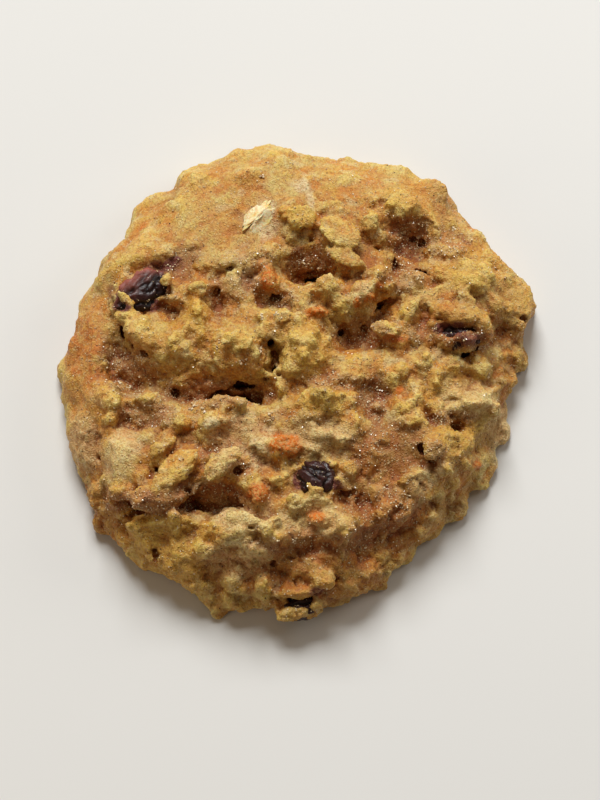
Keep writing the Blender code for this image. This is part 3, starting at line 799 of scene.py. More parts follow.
def tilted(facing, turn, tilt):
    """A facing that is tilted by some degrees about a level line at a turn."""
    axis = Vector((math.cos(math.radians(turn)), math.sin(math.radians(turn)), 0.0))
    return Matrix.Rotation(math.radians(tilt), 3, axis) @ facing


def lump(placement, size, roughness, number, rounds=2):
    """Uneven ball of a size in millimetres as a bmesh of its own."""
    bm = bmesh.new()
    bmesh.ops.create_icosphere(bm, subdivisions=rounds, radius=0.5)
    shift = Vector((number * 3.7, number * 1.3, number * 2.1))
    for vertex in bm.verts:
        swell = 1.0 + roughness * noise.noise(vertex.co * LUMP_GRAIN + shift)
        stretched = Vector((vertex.co.x * size[0], vertex.co.y * size[1], vertex.co.z * size[2]))
        vertex.co = stretched * swell * MM
    bmesh.ops.transform(bm, matrix=placement, verts=bm.verts)
    return bm


def pour(part, whole):
    """Adds a small bmesh to a large one, which keeps the making of each part quick."""
    mesh = bpy.data.meshes.new("part")
    part.to_mesh(mesh)
    part.free()
    whole.from_mesh(mesh)
    bpy.data.meshes.remove(mesh)


def scattered_points(bm, count, draw):
    """Points and normals drawn evenly over the faces of a bmesh that show above the foot."""
    faces = []
    for face in bm.faces:
        if face.normal.z > -WALL_FACING and face.calc_center_median().z > CRUMB_FLOOR:
            faces.append(face)
    areas = np.cumsum([face.calc_area() for face in faces])
    points = []
    for _ in range(count):
        face = faces[int(np.searchsorted(areas, draw.random() * areas[-1]))]
        a, b = draw.random(), draw.random()
        if a + b > 1:
            a, b = 1 - a, 1 - b
        first, second, third = (vertex.co for vertex in face.verts)
        points.append((first + (second - first) * a + (third - first) * b, face.normal.copy()))
    return points


class Sum:
    """A shader socket that takes part in sums as a number does."""

    def __init__(self, shade, socket):
        self.shade = shade
        self.socket = socket

    def _math(self, operation, first, second, limit=False):
        settings = {"operation": operation, "use_clamp": limit}
        return self.shade.node("ShaderNodeMath", settings, {0: first, 1: second})

    def __add__(self, other):
        return self._math("ADD", self, other)

    __radd__ = __add__

    def __sub__(self, other):
        return self._math("SUBTRACT", self, other)

    def __rsub__(self, other):
        return self._math("SUBTRACT", other, self)

    def __mul__(self, other):
        return self._math("MULTIPLY", self, other)

    __rmul__ = __mul__

    def limited(self):
        """The same value, kept between 0 and 1."""
        return self._math("ADD", self, 0.0, limit=True)

    def between(self, low, high):
        """0 below low, 1 above high, smooth between."""
        sockets = {"Value": self, "From Min": low, "From Max": high}
        return self.shade.node("ShaderNodeMapRange", {"interpolation_type": "SMOOTHSTEP"}, sockets)


class Shade:
    """Builds one Principled material out of expressions."""

    def __init__(self, name, **constants):
        self.material = bpy.data.materials.new(name)
        self.material.use_nodes = True
        self.tree = self.material.node_tree
        self.shader = self.tree.nodes["Principled BSDF"]
        for socket, value in constants.items():
            self.shader.inputs[socket.replace("_", " ")].default_value = value
        self.place = self.node("ShaderNodeTexCoord", output="Object")

    def node(self, kind, settings=None, sockets=None, output=0):
        """New node of a kind with its settings, then the values or links of its sockets."""
        made = self.tree.nodes.new(kind)
        for name, value in (settings or {}).items():
            setattr(made, name, value)
        for name, value in (sockets or {}).items():
            if isinstance(value, Sum):
                self.tree.links.new(value.socket, made.inputs[name])
            else:
                made.inputs[name].default_value = value
        return Sum(self, made.outputs[output])

    def attribute(self, name):
        """A number that the piece's vertices carry."""
        return self.node("ShaderNodeAttribute", {"attribute_name": name}, output="Fac")

    def noise(self, grain, detail=2.0, roughness=0.5, lift=0.0):
        """Noise about 0.5 with a grain in millimetres."""
        sockets = {"Vector": self.place, "Scale": 1.0 / (grain * MM), "Detail": detail,
                   "Roughness": roughness, "W": lift}
        return self.node("ShaderNodeTexNoise", {"noise_dimensions": "4D"}, sockets)

    def cells(self, grain):
        """Distance to the middle of the nearest cell, in cells, with a grain in millimetres."""
        sockets = {"Vector": self.place, "Scale": 1.0 / (grain * MM)}
        return self.node("ShaderNodeTexVoronoi", None, sockets, "Distance")

    def mix(self, factor, first, second, way="MIX"):
        """Colour between two, or combined in another way."""
        settings = {"data_type": "RGBA", "blend_type": way}
        return self.node("ShaderNodeMix", settings, {0: factor, 6: first, 7: second}, output=2)

    def bump(self, height, strength, depth):
        """Normal of a surface whose height varies over a depth in millimetres."""
        sockets = {"Height": height, "Strength": strength, "Distance": depth * MM}
        return self.node("ShaderNodeBump", None, sockets)

    def feed(self, **links):
        """Links values to the shader's sockets and returns the material."""
        for socket, value in links.items():
            self.tree.links.new(value.socket, self.shader.inputs[socket.replace("_", " ")])
        return self.material


def rgba(colour):
    """A setting's colour with full alpha."""
    return (*colour, 1.0)


def crust_material(colours):
    """Baked oat dough: golden and cream oats, toasted rims, moist purple-brown hollows, dark specks; painted
    shade in hollows, holes and darker zones, painted light on crowns and high ground, and painted glints.
    """
    shade = Shade("crust", Subsurface_Weight=0.16, Subsurface_Scale=0.0012, IOR=1.42,
                  Specular_IOR_Level=0.40)
    shade.shader.inputs["Subsurface Radius"].default_value = (1.0, 0.5, 0.22)
    tone = shade.attribute("tone")
    crown_light = shade.attribute("crown_light")
    stained = shade.attribute("stain")
    broad = shade.noise(4.5, 2.0)
    middling = shade.noise(1.5, 3.0, 0.6, 3.0)
    fine = shade.noise(0.40, 3.0, 0.65, 7.0)
    chip = shade.attribute("chip")
    # Crowns that see open sky turn paler and yellower as a painted highlight.
    oat_share = (tone * 0.45 + (broad - 0.5) * 1.5 + (middling - 0.5) * 1.5 + crown_light * 0.5 + 0.38).limited()
    colour = shade.mix(oat_share, rgba(colours.dough), rgba(colours.oat))
    flecks = shade.noise(1.6, 2.0, 0.6, 11.0).between(0.52, 0.66)
    baked = (flecks * 0.42 + chip.between(0.45, 0.75) * 0.38).limited()
    colour = shade.mix(baked, colour, rgba(colours.crumb))
    colour = shade.mix((0 - chip).between(0.50, 0.80) * 0.45, colour, rgba(colours.cream))
    golds = (shade.noise(2.4, 2.0, 0.6, 19.0).between(0.50, 0.66) * 0.5 + crown_light * 0.35).limited()
    colour = shade.mix(golds, colour, rgba(colours.yellow))
    yellow = (shade.attribute("yellow") * (0.6 + (middling - 0.5) * 1.6)).limited()
    colour = shade.mix(yellow, colour, rgba(colours.yellow))
    toast = (shade.attribute("toast") * (0.25 + middling.between(0.38, 0.60) * 0.75)).limited()
    colour = shade.mix(toast, colour, rgba(colours.toast))
    pale = (shade.attribute("pale") * (0.8 + (fine - 0.5) * 0.9)).limited()
    colour = shade.mix(pale, colour, rgba(colours.pale))
    stain = (stained * (0.62 + (middling - 0.5) * 1.5)).limited()
    colour = shade.mix(stain, colour, rgba(colours.moist))
    # Painted shade: hollows that see little sky take the dark recess colour.
    colour = shade.mix((shade.attribute("hollow_shade") * 0.8).limited(), colour, rgba(colours.recess_shade))
    # Painted shade, partly browner bake, over the darker zones.
    colour = shade.mix(shade.attribute("darker") * 0.75, colour, DARKER_TINT, "MULTIPLY")
    # Painted light and shade by broad height: low ground darker, high ground lighter.
    level = shade.mix(shade.attribute("level"), LOW_GROUND_SHADE, HIGH_GROUND_LIGHT)
    colour = shade.mix(1.0, colour, level, "MULTIPLY")
    grain = shade.mix(fine.between(0.32, 0.60), CREASE_TINT, NO_TINT)
    colour = shade.mix(0.75, colour, grain, "MULTIPLY")
    # Painted glints: bright dots that stand for sparkle off the moist crumb.
    dots = 1 - shade.cells(0.45).between(0.22, 0.42)
    dotted = shade.noise(0.8, 1.0, 0.5, 17.0).between(0.42, 0.58)
    colour = shade.mix(dots * dotted * (0.34 + stain * 0.20), colour, rgba(colours.glint))
    orange_mix = shade.mix(shade.attribute("redness"), rgba(colours.orange), rgba(colours.red_orange))
    orange = (shade.attribute("orange") * (0.78 + (fine - 0.5) * 5.0)).limited()
    colour = shade.mix(orange, colour, orange_mix)
    skin = (shade.attribute("skin") * (1.1 + (fine - 0.5) * 4.0)).limited()
    colour = shade.mix(skin, colour, shade.mix(middling, rgba(colours.raisin), rgba(colours.raisin_skin)))
    speck = 1 - shade.cells(1.25).between(0.08, 0.14)
    rare = shade.noise(3.0, 1.0, 0.5, 5.0).between(0.44, 0.54)
    colour = shade.mix(speck * rare * 0.9, colour, rgba(colours.speck))
    # Painted shade: holes that see almost no sky go dark at their lips and near black at the bottom.
    hole_shade = shade.attribute("hole_shade")
    colour = shade.mix((hole_shade * 2.0).limited(), colour, rgba(colours.under))
    colour = shade.mix((hole_shade * 2.2 - 1.0).limited(), colour, rgba(colours.deep))
    rough = (0.47 - stain * 0.18 + (fine - 0.5) * 0.5).limited()
    height = fine * 0.8 + shade.noise(0.2, 2.0, 0.6, 13.0) * 0.4 + middling * 0.4 + dots * 0.3
    return shade.feed(Base_Color=colour, Roughness=rough, Normal=shade.bump(height, 0.9, 0.34))


def raisin_material(colours):
    """Dried raisin: dark folds, purple-red skin on the ridges, a thin sugary bloom, and painted shade on one
    raisin's lower side.
    """
    shade = Shade("raisin_skin", IOR=1.45, Specular_IOR_Level=0.4, Subsurface_Weight=0.06,
                  Subsurface_Scale=0.001)
    fold_and_shade = shade.attribute("fold_and_shade")
    blush = shade.attribute("blush")
    fine = shade.noise(0.5, 3.0, 0.6, 2.0)
    skin = shade.mix((blush + (fine - 0.5) * 0.5).limited(), rgba(colours.raisin), rgba(colours.raisin_skin))
    colour = shade.mix((fold_and_shade * (0.95 - blush * 0.55)).limited(), skin, rgba(colours.raisin_core))
    bloom = shade.noise(0.32, 2.0, 0.6, 9.0).between(0.60, 0.72) * (1 - fold_and_shade).limited()
    colour = shade.mix(bloom * 0.12, colour, rgba(colours.bloom))
    rough = (0.36 + blush * 0.2 + (fine - 0.5) * 0.5).limited()
    height = fine * 0.6 + shade.noise(0.22, 2.0, 0.6, 4.0) * 0.4
    return shade.feed(Base_Color=colour, Roughness=rough, Normal=shade.bump(height, 0.6, 0.2))


def flake_material(colours):
    """Dry oat flake: pale cream with yellow fibres and a browned edge."""
    shade = Shade("oat_flake", Subsurface_Weight=0.2, Subsurface_Scale=0.001, IOR=1.45)
    fibres = shade.noise(0.5, 3.0, 0.65, 6.0)
    broad = shade.noise(2.2, 2.0, 0.5, 8.0)
    colour = shade.mix(broad.between(0.36, 0.58), rgba(colours.pale), rgba(colours.oat))
    colour = shade.mix(fibres.between(0.46, 0.62) * 0.6, colour, rgba(colours.dough))
    height = fibres + shade.noise(0.2, 2.0, 0.6, 13.0) * 0.4
    return shade.feed(Base_Color=colour, Roughness=fibres * 0.3 + 0.35, Normal=shade.bump(height, 0.6, 0.25))


def sugar_material(colours):
    """Clear sugar grains, pale and glossy."""
    shade = Shade("sugar", IOR=1.54, Specular_IOR_Level=0.8)
    cloud = shade.noise(0.4, 1.0)
    colour = shade.mix(cloud.between(0.35, 0.65), rgba(colours.sugar), rgba(colours.sugar_shade))
    return shade.feed(Base_Color=colour, Roughness=cloud * 0.5)


def floor_material(colours):
    """Plain pale studio floor."""
    shade = Shade("pale_floor", Specular_IOR_Level=0.2)
    mottle = shade.noise(60.0, 2.0)
    colour = shade.mix(mottle * 0.04, rgba(colours.floor), FLOOR_MOTTLE)
    return shade.feed(Base_Color=colour, Roughness=mottle * 0.1 + 0.7)


def solid_skin():
    """Surface of all the solids together, on which things are placed."""
    shown = merged_copy("cookie")
    for name in RAISIN_PLACES:
        pour(merged_copy(name), shown)
    tree = BVHTree.FromBMesh(shown)
    shown.free()
    return tree


def settled_base(sizes):
    """Copy of the dough's solid, moved in to make room for crumbs, and evened where the crust is fine."""
    base = merged_copy("cookie")
    base.normal_update()
    x, y = readings(np.array([vertex.co for vertex in base.verts]))
    smooth = patches(x, y, FINE_CRUST, 0.0)
    fine = []
    wall = []
    for vertex, share in zip(base.verts, smooth):
        vertex.co -= vertex.normal * sizes.inset * (1 - FINE_OUTSET * share)
        if vertex.co.z <= FOOT_HEIGHT:
            continue
        if share > 0.4:
            fine.append(vertex)
        if abs(vertex.normal.z) < WALL_FACING:
            vertex.co += vertex.normal * WALL_OUTSET * sizes.inset
            wall.append(vertex)
    evened(base, fine, FINE_ROUNDS)
    evened(base, wall, WALL_ROUNDS)
    return base


def add_crumbs(whole, sizes):
    """Seeded round crumbs over top and wall, sunk so that soft caps show."""
    draw = random.Random(SEED)
    whole.normal_update()
    spots = scattered_points(whole, sizes.crumbs, draw)
    x, y = readings(np.array([place for place, _ in spots]))
    smooth = patches(x, y, FINE_CRUST, 0.0)
    for number, (place, normal) in enumerate(spots):
        if near_raisin(place, RAISIN_CLEARANCE) or draw.random() < smooth[number] * 0.8:
            continue
        upright = 1 - max(0.0, normal.z)
        length = draw.uniform(*CRUMB_LENGTHS) * (1 - 0.3 * smooth[number]) * (1 - 0.2 * upright)
        width = length * draw.uniform(*CRUMB_WIDTHS)
        height = width * draw.uniform(*CRUMB_HEIGHTS)
        stray = Vector([draw.uniform(-1, 1) for _ in range(3)]) * CRUMB_LEAN
        depth = draw.uniform(*CRUMB_DEPTHS) + 0.22 * upright + 0.15 * smooth[number]
        sunk = place + normal * (sizes.inset * (1 - smooth[number]) - depth * height * MM)
        placement = standing(sunk, normal + stray, draw.uniform(0, 360))
        pour(lump(placement, (length, width, height), 0.3, number), whole)


def near_raisin(place, margin):
    """Whether a point lies inside a raisin's box, widened by a margin."""
    for low, high in RAISIN_BOXES.values():
        if all(low[axis] - margin < place[axis] < high[axis] + margin for axis in range(3)):
            return True
    return False


def add_beds(whole):
    """Dough that fills the gap round each raisin, with crumbs over its rim, so that it is baked in."""
    draw = random.Random(SEED + 2)
    for name, (length, width) in RAISIN_SPREADS.items():
        low, high = RAISIN_BOXES[name]
        middle = (low + high) / 2
        bm = merged_copy(name)
        for vertex in bm.verts:
            offset = vertex.co - middle
            sunk = BED_HEIGHT * offset.z - BED_SINK * MM
            vertex.co = middle + Vector((BED_WIDTH * offset.x, BED_WIDTH * offset.y, sunk))
        pour(bm, whole)
        turn = math.radians(RAISIN_TURNS[name])
        for number in range(RIM_CRUMBS):
            angle = math.tau * (number + draw.uniform(-0.3, 0.3)) / RIM_CRUMBS
            reach = draw.uniform(*RIM_REACH)
            along = length * reach * math.cos(angle)
            across = width * reach * math.sin(angle)
            place = middle + Vector((along * math.cos(turn) - across * math.sin(turn),
                                     along * math.sin(turn) + across * math.cos(turn),
                                     draw.uniform(*RIM_HEIGHTS))) * MM
            size = draw.uniform(*RIM_SIZES)
            placement = standing(place, UP, draw.uniform(0, 360))
            pour(lump(placement, (size, 0.7 * size, 0.7 * size), 0.5, number), whole)


def add_flakes(whole, tree):
    """Listed flakes and lumps, and the curled rims of oats as rows of beads."""
    for number, (x, y, length, width, thickness, turn, tilt, lift) in enumerate(FLAKES):
        place, normal = seen(tree, x, y)
        facing = tilted(normal + Vector((0.0, 0.0, 1.2)), turn, tilt)
        placement = standing(place + facing.normalized() * lift * 0.6 * MM, facing, turn)
        pour(lump(placement, (length, width, thickness), 0.3, FLAKE_SHAPES + number, 3), whole)
    for x, y, radius, start, end, width in CURLS:
        beads = max(3, round(radius * math.radians(abs(end - start)) / (0.55 * width)))
        for step in range(beads):
            angle = start + (end - start) * step / (beads - 1)
            across = radius * math.cos(math.radians(angle))
            along = radius * math.sin(math.radians(angle))
            place, normal = seen(tree, x + across, y + along)
            placement = standing(place + normal * 0.12 * MM, normal + UP, angle + 90)
            pour(lump(placement, (1.3 * width, width, 0.9 * width), 0.15, step), whole)


def crisp_flake(placement, length, width, number):
    """Thin oat flake with narrowed ends and turned-up sides."""
    flake = lump(Matrix.Identity(4), (length, width, FLAKE_THICKNESS), 0.5, number, 4)
    for vertex in flake.verts:
        along = 2 * vertex.co.x / (length * MM)
        across = 2 * vertex.co.y / (width * MM)
        vertex.co.y *= 1 - 0.25 * along * along
        vertex.co.z += (0.20 * across * across - 0.20 * along * along) * MM
    bmesh.ops.transform(flake, matrix=placement, verts=flake.verts)
    return flake


def add_orange_bits(whole, tree):
    """Rough orange bits that stand a little proud of the dough."""
    for number, (x, y, length, width, turn, _) in enumerate(ORANGE_BITS):
        place, normal = seen(tree, x, y)
        height = 0.6 * min(length, width)
        placement = standing(place - normal * height * 0.15 * MM, normal + UP, turn)
        pour(lump(placement, (0.9 * length, 0.9 * width, height), 0.5, ORANGE_SHAPES + number), whole)


def hole_cutters(tree):
    """One object of uneven pits and crevices, which lean in under the dough above them."""
    whole = bmesh.new()
    for number, (x, y, length, width, turn, depth) in enumerate(HOLES):
        place, normal = seen(tree, x, y)
        outward = (normal * 0.6 + HOLE_LEAN).normalized()
        placement = standing(place - outward * depth * 0.2 * MM, outward, turn)
        size = (0.95 * length, 0.85 * width, 1.5 * depth)
        pour(lump(placement, size, 0.7, HOLE_SHAPES + number), whole)
    return new_piece("hole_cutters", whole, None)


def keep_largest(mesh):
    """Drops scraps and sealed hollows, so that one closed skin is left."""
    bm = bmesh.new()
    bm.from_mesh(mesh)
    left = set(bm.verts)
    shells = []
    while left:
        start = left.pop()
        shell, queue = {start}, [start]
        while queue:
            for edge in queue.pop().link_edges:
                for vertex in edge.verts:
                    if vertex not in shell:
                        shell.add(vertex)
                        queue.append(vertex)
        left -= shell
        shells.append(shell)
    largest = max(shells, key=len)
    loose = [vertex for vertex in bm.verts if vertex not in largest]
    bmesh.ops.delete(bm, geom=loose, context="VERTS")
    bm.to_mesh(mesh)
    bm.free()


def relief(mesh, sizes):
    """Moves the surface in and out for pebbles, crumb and grain, and returns the tones of both sizes."""
    points, normals, _, _ = mesh_arrays(mesh)
    x, y = readings(points)
    smooth = patches(x, y, FINE_CRUST, 0.0)
    pebbles, tones = pebbles_at(points, PEBBLE_GRAIN, 1.0)
    crumbs, small_tones = pebbles_at(points, CRUMB_GRAIN, 5.0)
    grit = np.abs(noise_at(points, GRIT_GRAIN, 9.0)) * 2.2 - 0.5
    rise = (pebbles - 0.6) * 0.36 * (1 - 0.5 * smooth)
    rise += (crumbs - 0.6) * 0.24 + grit * 0.08
    wall = np.clip((0.80 - np.abs(normals[:, 2])) / 0.4, 0.0, 1.0) * smooth
    rise += (noise_at(points, SWELL_GRAIN, 33.0) * 1.7 + noise_at(points, RIPPLE_GRAIN, 37.0) * 0.7) * wall
    under = np.clip((points[:, 2] / MM - 0.3) / 1.2, 0.0, 1.0)
    rise *= sizes.relief * (0.12 + 0.88 * under) * MM
    points = points + normals * rise[:, None]
    points[:, 2] = np.clip(points[:, 2], 0.0, SOLID_BOX[1].z + TOP_MARGIN)
    mesh.vertices.foreach_set("co", points.ravel())
    mesh.update()
    return tones, small_tones


def paint_dough(mesh, tones, small_tones):
    """Attributes for the crust: painted shade in hollows and holes, painted light on crowns and high ground,
    tones of the pebbles, and the patches that show.
    """
    points, normals, ends, counts = mesh_arrays(mesh)
    x, y = readings(points)
    shows = np.clip((normals[:, 2] + 0.35) / 0.3, 0.0, 1.0)
    warp = noise_at(points, 2.2, 21.0) * 0.42 + noise_at(points, 0.9, 23.0) * 0.25
    smoothed = points.copy()
    depths = []
    done = 0
    for passes in HOLLOW_PASSES:
        for axis in range(3):
            smoothed[:, axis] = blurred(smoothed[:, axis], ends, counts, passes - done)
        done = passes
        depths.append(((smoothed - points) * normals).sum(axis=1) / MM)
    fine, middling, broad = depths
    depth = fine * 1.5 + middling + broad * 0.45
    corners = [list(face.vertices) for face in mesh.polygons]
    tree = BVHTree.FromPolygons([Vector(point) for point in points], corners)
    sky = blurred(open_sky(points, normals, tree), ends, counts, 1)
    under = np.clip((-normals[:, 2] - 0.55) / 0.3, 0.0, 1.0) * (points[:, 2] < 0.004)
    sky = np.maximum(sky, under)
    bits = [(row[0], row[1], row[2], row[3], row[4], 1.0) for row in ORANGE_BITS]
    reds = [(row[0], row[1], row[2] * 1.4, row[3] * 1.4, row[4], row[5]) for row in ORANGE_BITS]
    # Painted shade: how deep in a hollow a vertex lies and how little sky it sees.
    set_attribute(mesh, "hollow_shade", np.clip(depth * 0.9 + (0.50 - sky) * 1.1, 0, 1))
    # Painted highlight on the crowns of lumps that see open sky.
    set_attribute(mesh, "crown_light", np.clip(-depth * 1.3 - 0.05, 0, 1) * np.clip(sky * 1.5 - 0.4, 0, 1))
    # Painted light and shade by broad height: 0 on low ground, 1 on high ground.
    set_attribute(mesh, "level", np.clip(0.55 - broad * 0.45, 0, 1))
    # Painted shade of the holes, from how little sky a vertex sees.
    set_attribute(mesh, "hole_shade", np.clip((0.22 - sky) / 0.17, 0, 1))
    set_attribute(mesh, "tone", blurred(tones, ends, counts, 2))
    set_attribute(mesh, "chip", blurred(small_tones, ends, counts, 1))
    set_attribute(mesh, "skin", patches(x, y, SKINS, warp * 0.9) * shows)
    set_attribute(mesh, "toast", np.maximum(patches(x, y, TOASTED, warp) * shows, under))
    set_attribute(mesh, "stain", patches(x, y, STAINED, warp) * shows * (1 - under))
    set_attribute(mesh, "pale", patches(x, y, PALE_OATS, warp * 0.4) * shows)
    set_attribute(mesh, "yellow", patches(x, y, YELLOW_OATS, warp * 0.7) * shows)
    set_attribute(mesh, "orange", patches(x, y, bits, warp * 0.8) * shows)
    # Painted shade, partly browner bake, of the darker zones.
    set_attribute(mesh, "darker", patches(x, y, DARKER, warp * 0.6))
    set_attribute(mesh, "redness", patches(x, y, reds, warp * 0.3))


def colour_setting(label, note, value):
    """A colour that a user can change."""
    return FloatVectorProperty(name=label, description=note, default=value, size=3, min=0.0, max=1.0,
                               subtype="COLOR")


class CookieSettings(bpy.types.PropertyGroup):
    """Sizes and colours of the cookie's pieces."""

    fuse_step: FloatProperty(name="Fuse step", description="Step at which crumbs run into the dough",
                             default=0.00036, unit="LENGTH")
    skin_step: FloatProperty(name="Skin step", description="Step of the finished skin",
                             default=0.0003, unit="LENGTH")
    relief: FloatProperty(name="Relief", description="Depth of crumb and grain", default=1.0, min=0.0)
    inset: FloatProperty(name="Inset", description="How far the solid's skin moves in under the crumbs",
                         default=0.0005, unit="LENGTH")
    crumbs: IntProperty(name="Crumbs", description="Crumbs and flakes over the dough", default=760, min=0)
    triangles: IntProperty(name="Triangles", description="Most triangles of the dough", default=192000)
    sugar_grains: IntProperty(name="Sugar grains", description="Grains over the dough", default=3400)
    sugar_size: FloatProperty(name="Sugar size", description="Width of a usual grain", default=0.00018,
                              unit="LENGTH")
    dough: colour_setting("Dough", "Golden baked dough", (0.66, 0.290, 0.042))
    oat: colour_setting("Oat", "Cream oat under the crust", (0.70, 0.530, 0.170))
    cream: colour_setting("Cream", "Moist cream lumps", (0.76, 0.65, 0.34))
    yellow: colour_setting("Yellow oat", "Oats that baked yellow", (0.70, 0.455, 0.080))
    # Painted glint colour of the bright dots.
    glint: colour_setting("Glint", "Moist bright specks in the crumb", (0.84, 0.70, 0.38))
    pale: colour_setting("Pale oat", "Dry pale flakes", (0.82, 0.70, 0.42))
    crumb: colour_setting("Crumb", "Brown flecks between the oats", (0.58, 0.260, 0.070))
    toast: colour_setting("Toast", "Orange-brown toasted crust", (0.60, 0.228, 0.036))
    moist: colour_setting("Moist", "Purple-brown moist dough", (0.43, 0.190, 0.088))
    # Painted shade colour of the hollows.
    recess_shade: colour_setting("Recess", "Dough in hollows", (0.37, 0.118, 0.028))
    # Painted shade colours of the holes: their lips and their bottoms.
    under: colour_setting("Under", "Dough at the lips of the holes", (0.15, 0.038, 0.006))
    deep: colour_setting("Deep", "Bottom of the holes", (0.010, 0.004, 0.002))
    speck: colour_setting("Speck", "Dark specks", (0.06, 0.022, 0.01))
    orange: colour_setting("Orange", "Orange bits", (0.64, 0.165, 0.006))
    red_orange: colour_setting("Red orange", "Redder orange bits", (0.46, 0.10, 0.012))
    raisin: colour_setting("Raisin", "Raisin between folds", (0.040, 0.011, 0.009))
    raisin_skin: colour_setting("Raisin skin", "Skin on the ridges", (0.30, 0.078, 0.052))
    # Also the painted shade on the left raisin's lower side.
    raisin_core: colour_setting("Raisin core", "Darkest folds", (0.008, 0.003, 0.003))
    bloom: colour_setting("Bloom", "Sugary bloom on the skin", (0.45, 0.36, 0.34))
    sugar: colour_setting("Sugar", "Sugar grains", (0.86, 0.72, 0.46))
    sugar_shade: colour_setting("Sugar shade", "Cloudy sugar", (0.46, 0.29, 0.15))
    floor: colour_setting("Floor", "Studio floor", (0.72, 0.71, 0.69))
    key_power: FloatProperty(name="Key light", description="Power of the key light", default=23.4,
                             unit="POWER")
    fill_light: FloatProperty(name="Fill light", description="Strength of the light all round", default=0.14)
    camera_distance: FloatProperty(name="Camera distance", description="From the lens to the cookie",
                                   default=0.44, unit="LENGTH")
    camera_lens: FloatProperty(name="Lens", description="Focal length in millimetres", default=123.0)


class COOKIE_OT_dough(bpy.types.Operator):
    """Bake the dough: crumbs, flakes, holes and grain over the solid, in one skin"""

    bl_idname = "cookie.dough"
    bl_label = "Dough"

    def execute(self, context):
        settings = context.scene.cookie
        tree = solid_skin()
        whole = settled_base(settings)
        add_crumbs(whole, settings)
        add_beds(whole)
        add_flakes(whole, tree)
        add_orange_bits(whole, tree)
        for vertex in whole.verts:
            vertex.co.z = max(vertex.co.z, 0.0)
        dough = new_piece("dough", whole, crust_material(settings))
        apply_modifier(dough, "REMESH", mode="VOXEL", voxel_size=settings.fuse_step)
        apply_modifier(dough, "SMOOTH", factor=0.5, iterations=2)
        skin = BVHTree.FromObject(dough, context.evaluated_depsgraph_get())
        cutters = hole_cutters(skin)
        apply_modifier(dough, "BOOLEAN", operation="DIFFERENCE", object=cutters, solver="MANIFOLD")
        bpy.data.objects.remove(cutters, do_unlink=True)
        apply_modifier(dough, "REMESH", mode="VOXEL", voxel_size=settings.skin_step)
        apply_modifier(dough, "SMOOTH", factor=0.5, iterations=3)
        share = settings.triangles / (2 * len(dough.data.polygons))
        apply_modifier(dough, "DECIMATE", ratio=min(1.0, share))
        keep_largest(dough.data)
        tones, small_tones = relief(dough.data, settings)
        paint_dough(dough.data, tones, small_tones)
        dough.data.shade_smooth()
        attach(dough, "root")
        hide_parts("cookie")
        return {"FINISHED"}


class COOKIE_OT_raisins(bpy.types.Operator):
    """Wrinkle the raisins"""

    bl_idname = "cookie.raisins"
    bl_label = "Raisins"

    def execute(self, context):
        material = raisin_material(context.scene.cookie)
        for number, name in enumerate(RAISIN_PLACES):
            self.make_raisin(number, name, material)
        return {"FINISHED"}

    def make_raisin(self, number, name, material):
        """One raisin with deep folds along its length, from its solid."""
        bm = merged_copy(name)
        bmesh.ops.subdivide_edges(bm, edges=bm.edges, cuts=3, use_grid_fill=True)
        evened(bm, bm.verts, 2)
        bm.normal_update()
        low, high = RAISIN_BOXES[name]
        middle = (low + high) / 2
        turn = Matrix.Rotation(-math.radians(RAISIN_TURNS[name]), 3, "Z")
        shift = Vector((number * 9.0, 3.0, 0.0))
        folds = []
        blushes = []
        for vertex in bm.verts:
            local = turn @ (vertex.co - middle) / MM
            wander = Vector((0.0, noise.noise(local / 2.0 + shift), noise.noise(local / 2.2 - shift)))
            stretched = Vector((local.x / 4.2, local.y / 1.25, local.z / 1.25)) + wander * 0.45 + shift
            ridge = 1.0 - min(1.0, abs(noise.noise(stretched)) * 3.2)
            crinkle = 1.0 - min(1.0, abs(noise.noise(local / 0.8 + shift)) * 3.0)
            depth = 0.60 * ridge ** 2 + 0.20 * crinkle ** 2
            fold_and_shade = min(1.0, 1.15 * ridge ** 2 + 0.3 * crinkle ** 2)
            if name == "raisin_left":
                # Its upper side is red skin, and its lower side gets painted shade in the dark fold colour.
                blush = 0.15 + 0.38 * local.y + 0.5 * noise.noise(local / 2.0)
                fold_and_shade = max(fold_and_shade, min(1.0, -0.4 - 0.5 * local.y))
            else:
                blush = RAISIN_BLUSH[name] + 0.5 * noise.noise(local / 3.0 + shift)
            folds.append(fold_and_shade)
            blushes.append(max(0.0, min(1.0, blush)))
            vertex.co += vertex.normal * (0.45 - depth) * MM
        piece = new_piece(raisin_piece(name), bm, material)
        set_attribute(piece.data, "fold_and_shade", folds)
        set_attribute(piece.data, "blush", blushes)
        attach(piece, "root")
        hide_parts(name)


class COOKIE_OT_flakes(bpy.types.Operator):
    """Lay the crisp oat flakes on the crust"""

    bl_idname = "cookie.flakes"
    bl_label = "Oat flakes"

    def execute(self, context):
        tree = BVHTree.FromObject(bpy.data.objects["dough"], context.evaluated_depsgraph_get())
        whole = bmesh.new()
        for number, (x, y, length, width, turn, tilt, lift) in enumerate(CRISP_FLAKES):
            place, normal = seen(tree, x, y)
            facing = tilted(normal * 0.4 + UP, turn, tilt)
            placement = standing(place + facing.normalized() * lift * MM, facing, turn)
            pour(crisp_flake(placement, length, width, CRISP_SHAPES + number), whole)
        flakes = new_piece("oat_flakes", whole, flake_material(context.scene.cookie))
        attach(flakes, "root")
        return {"FINISHED"}


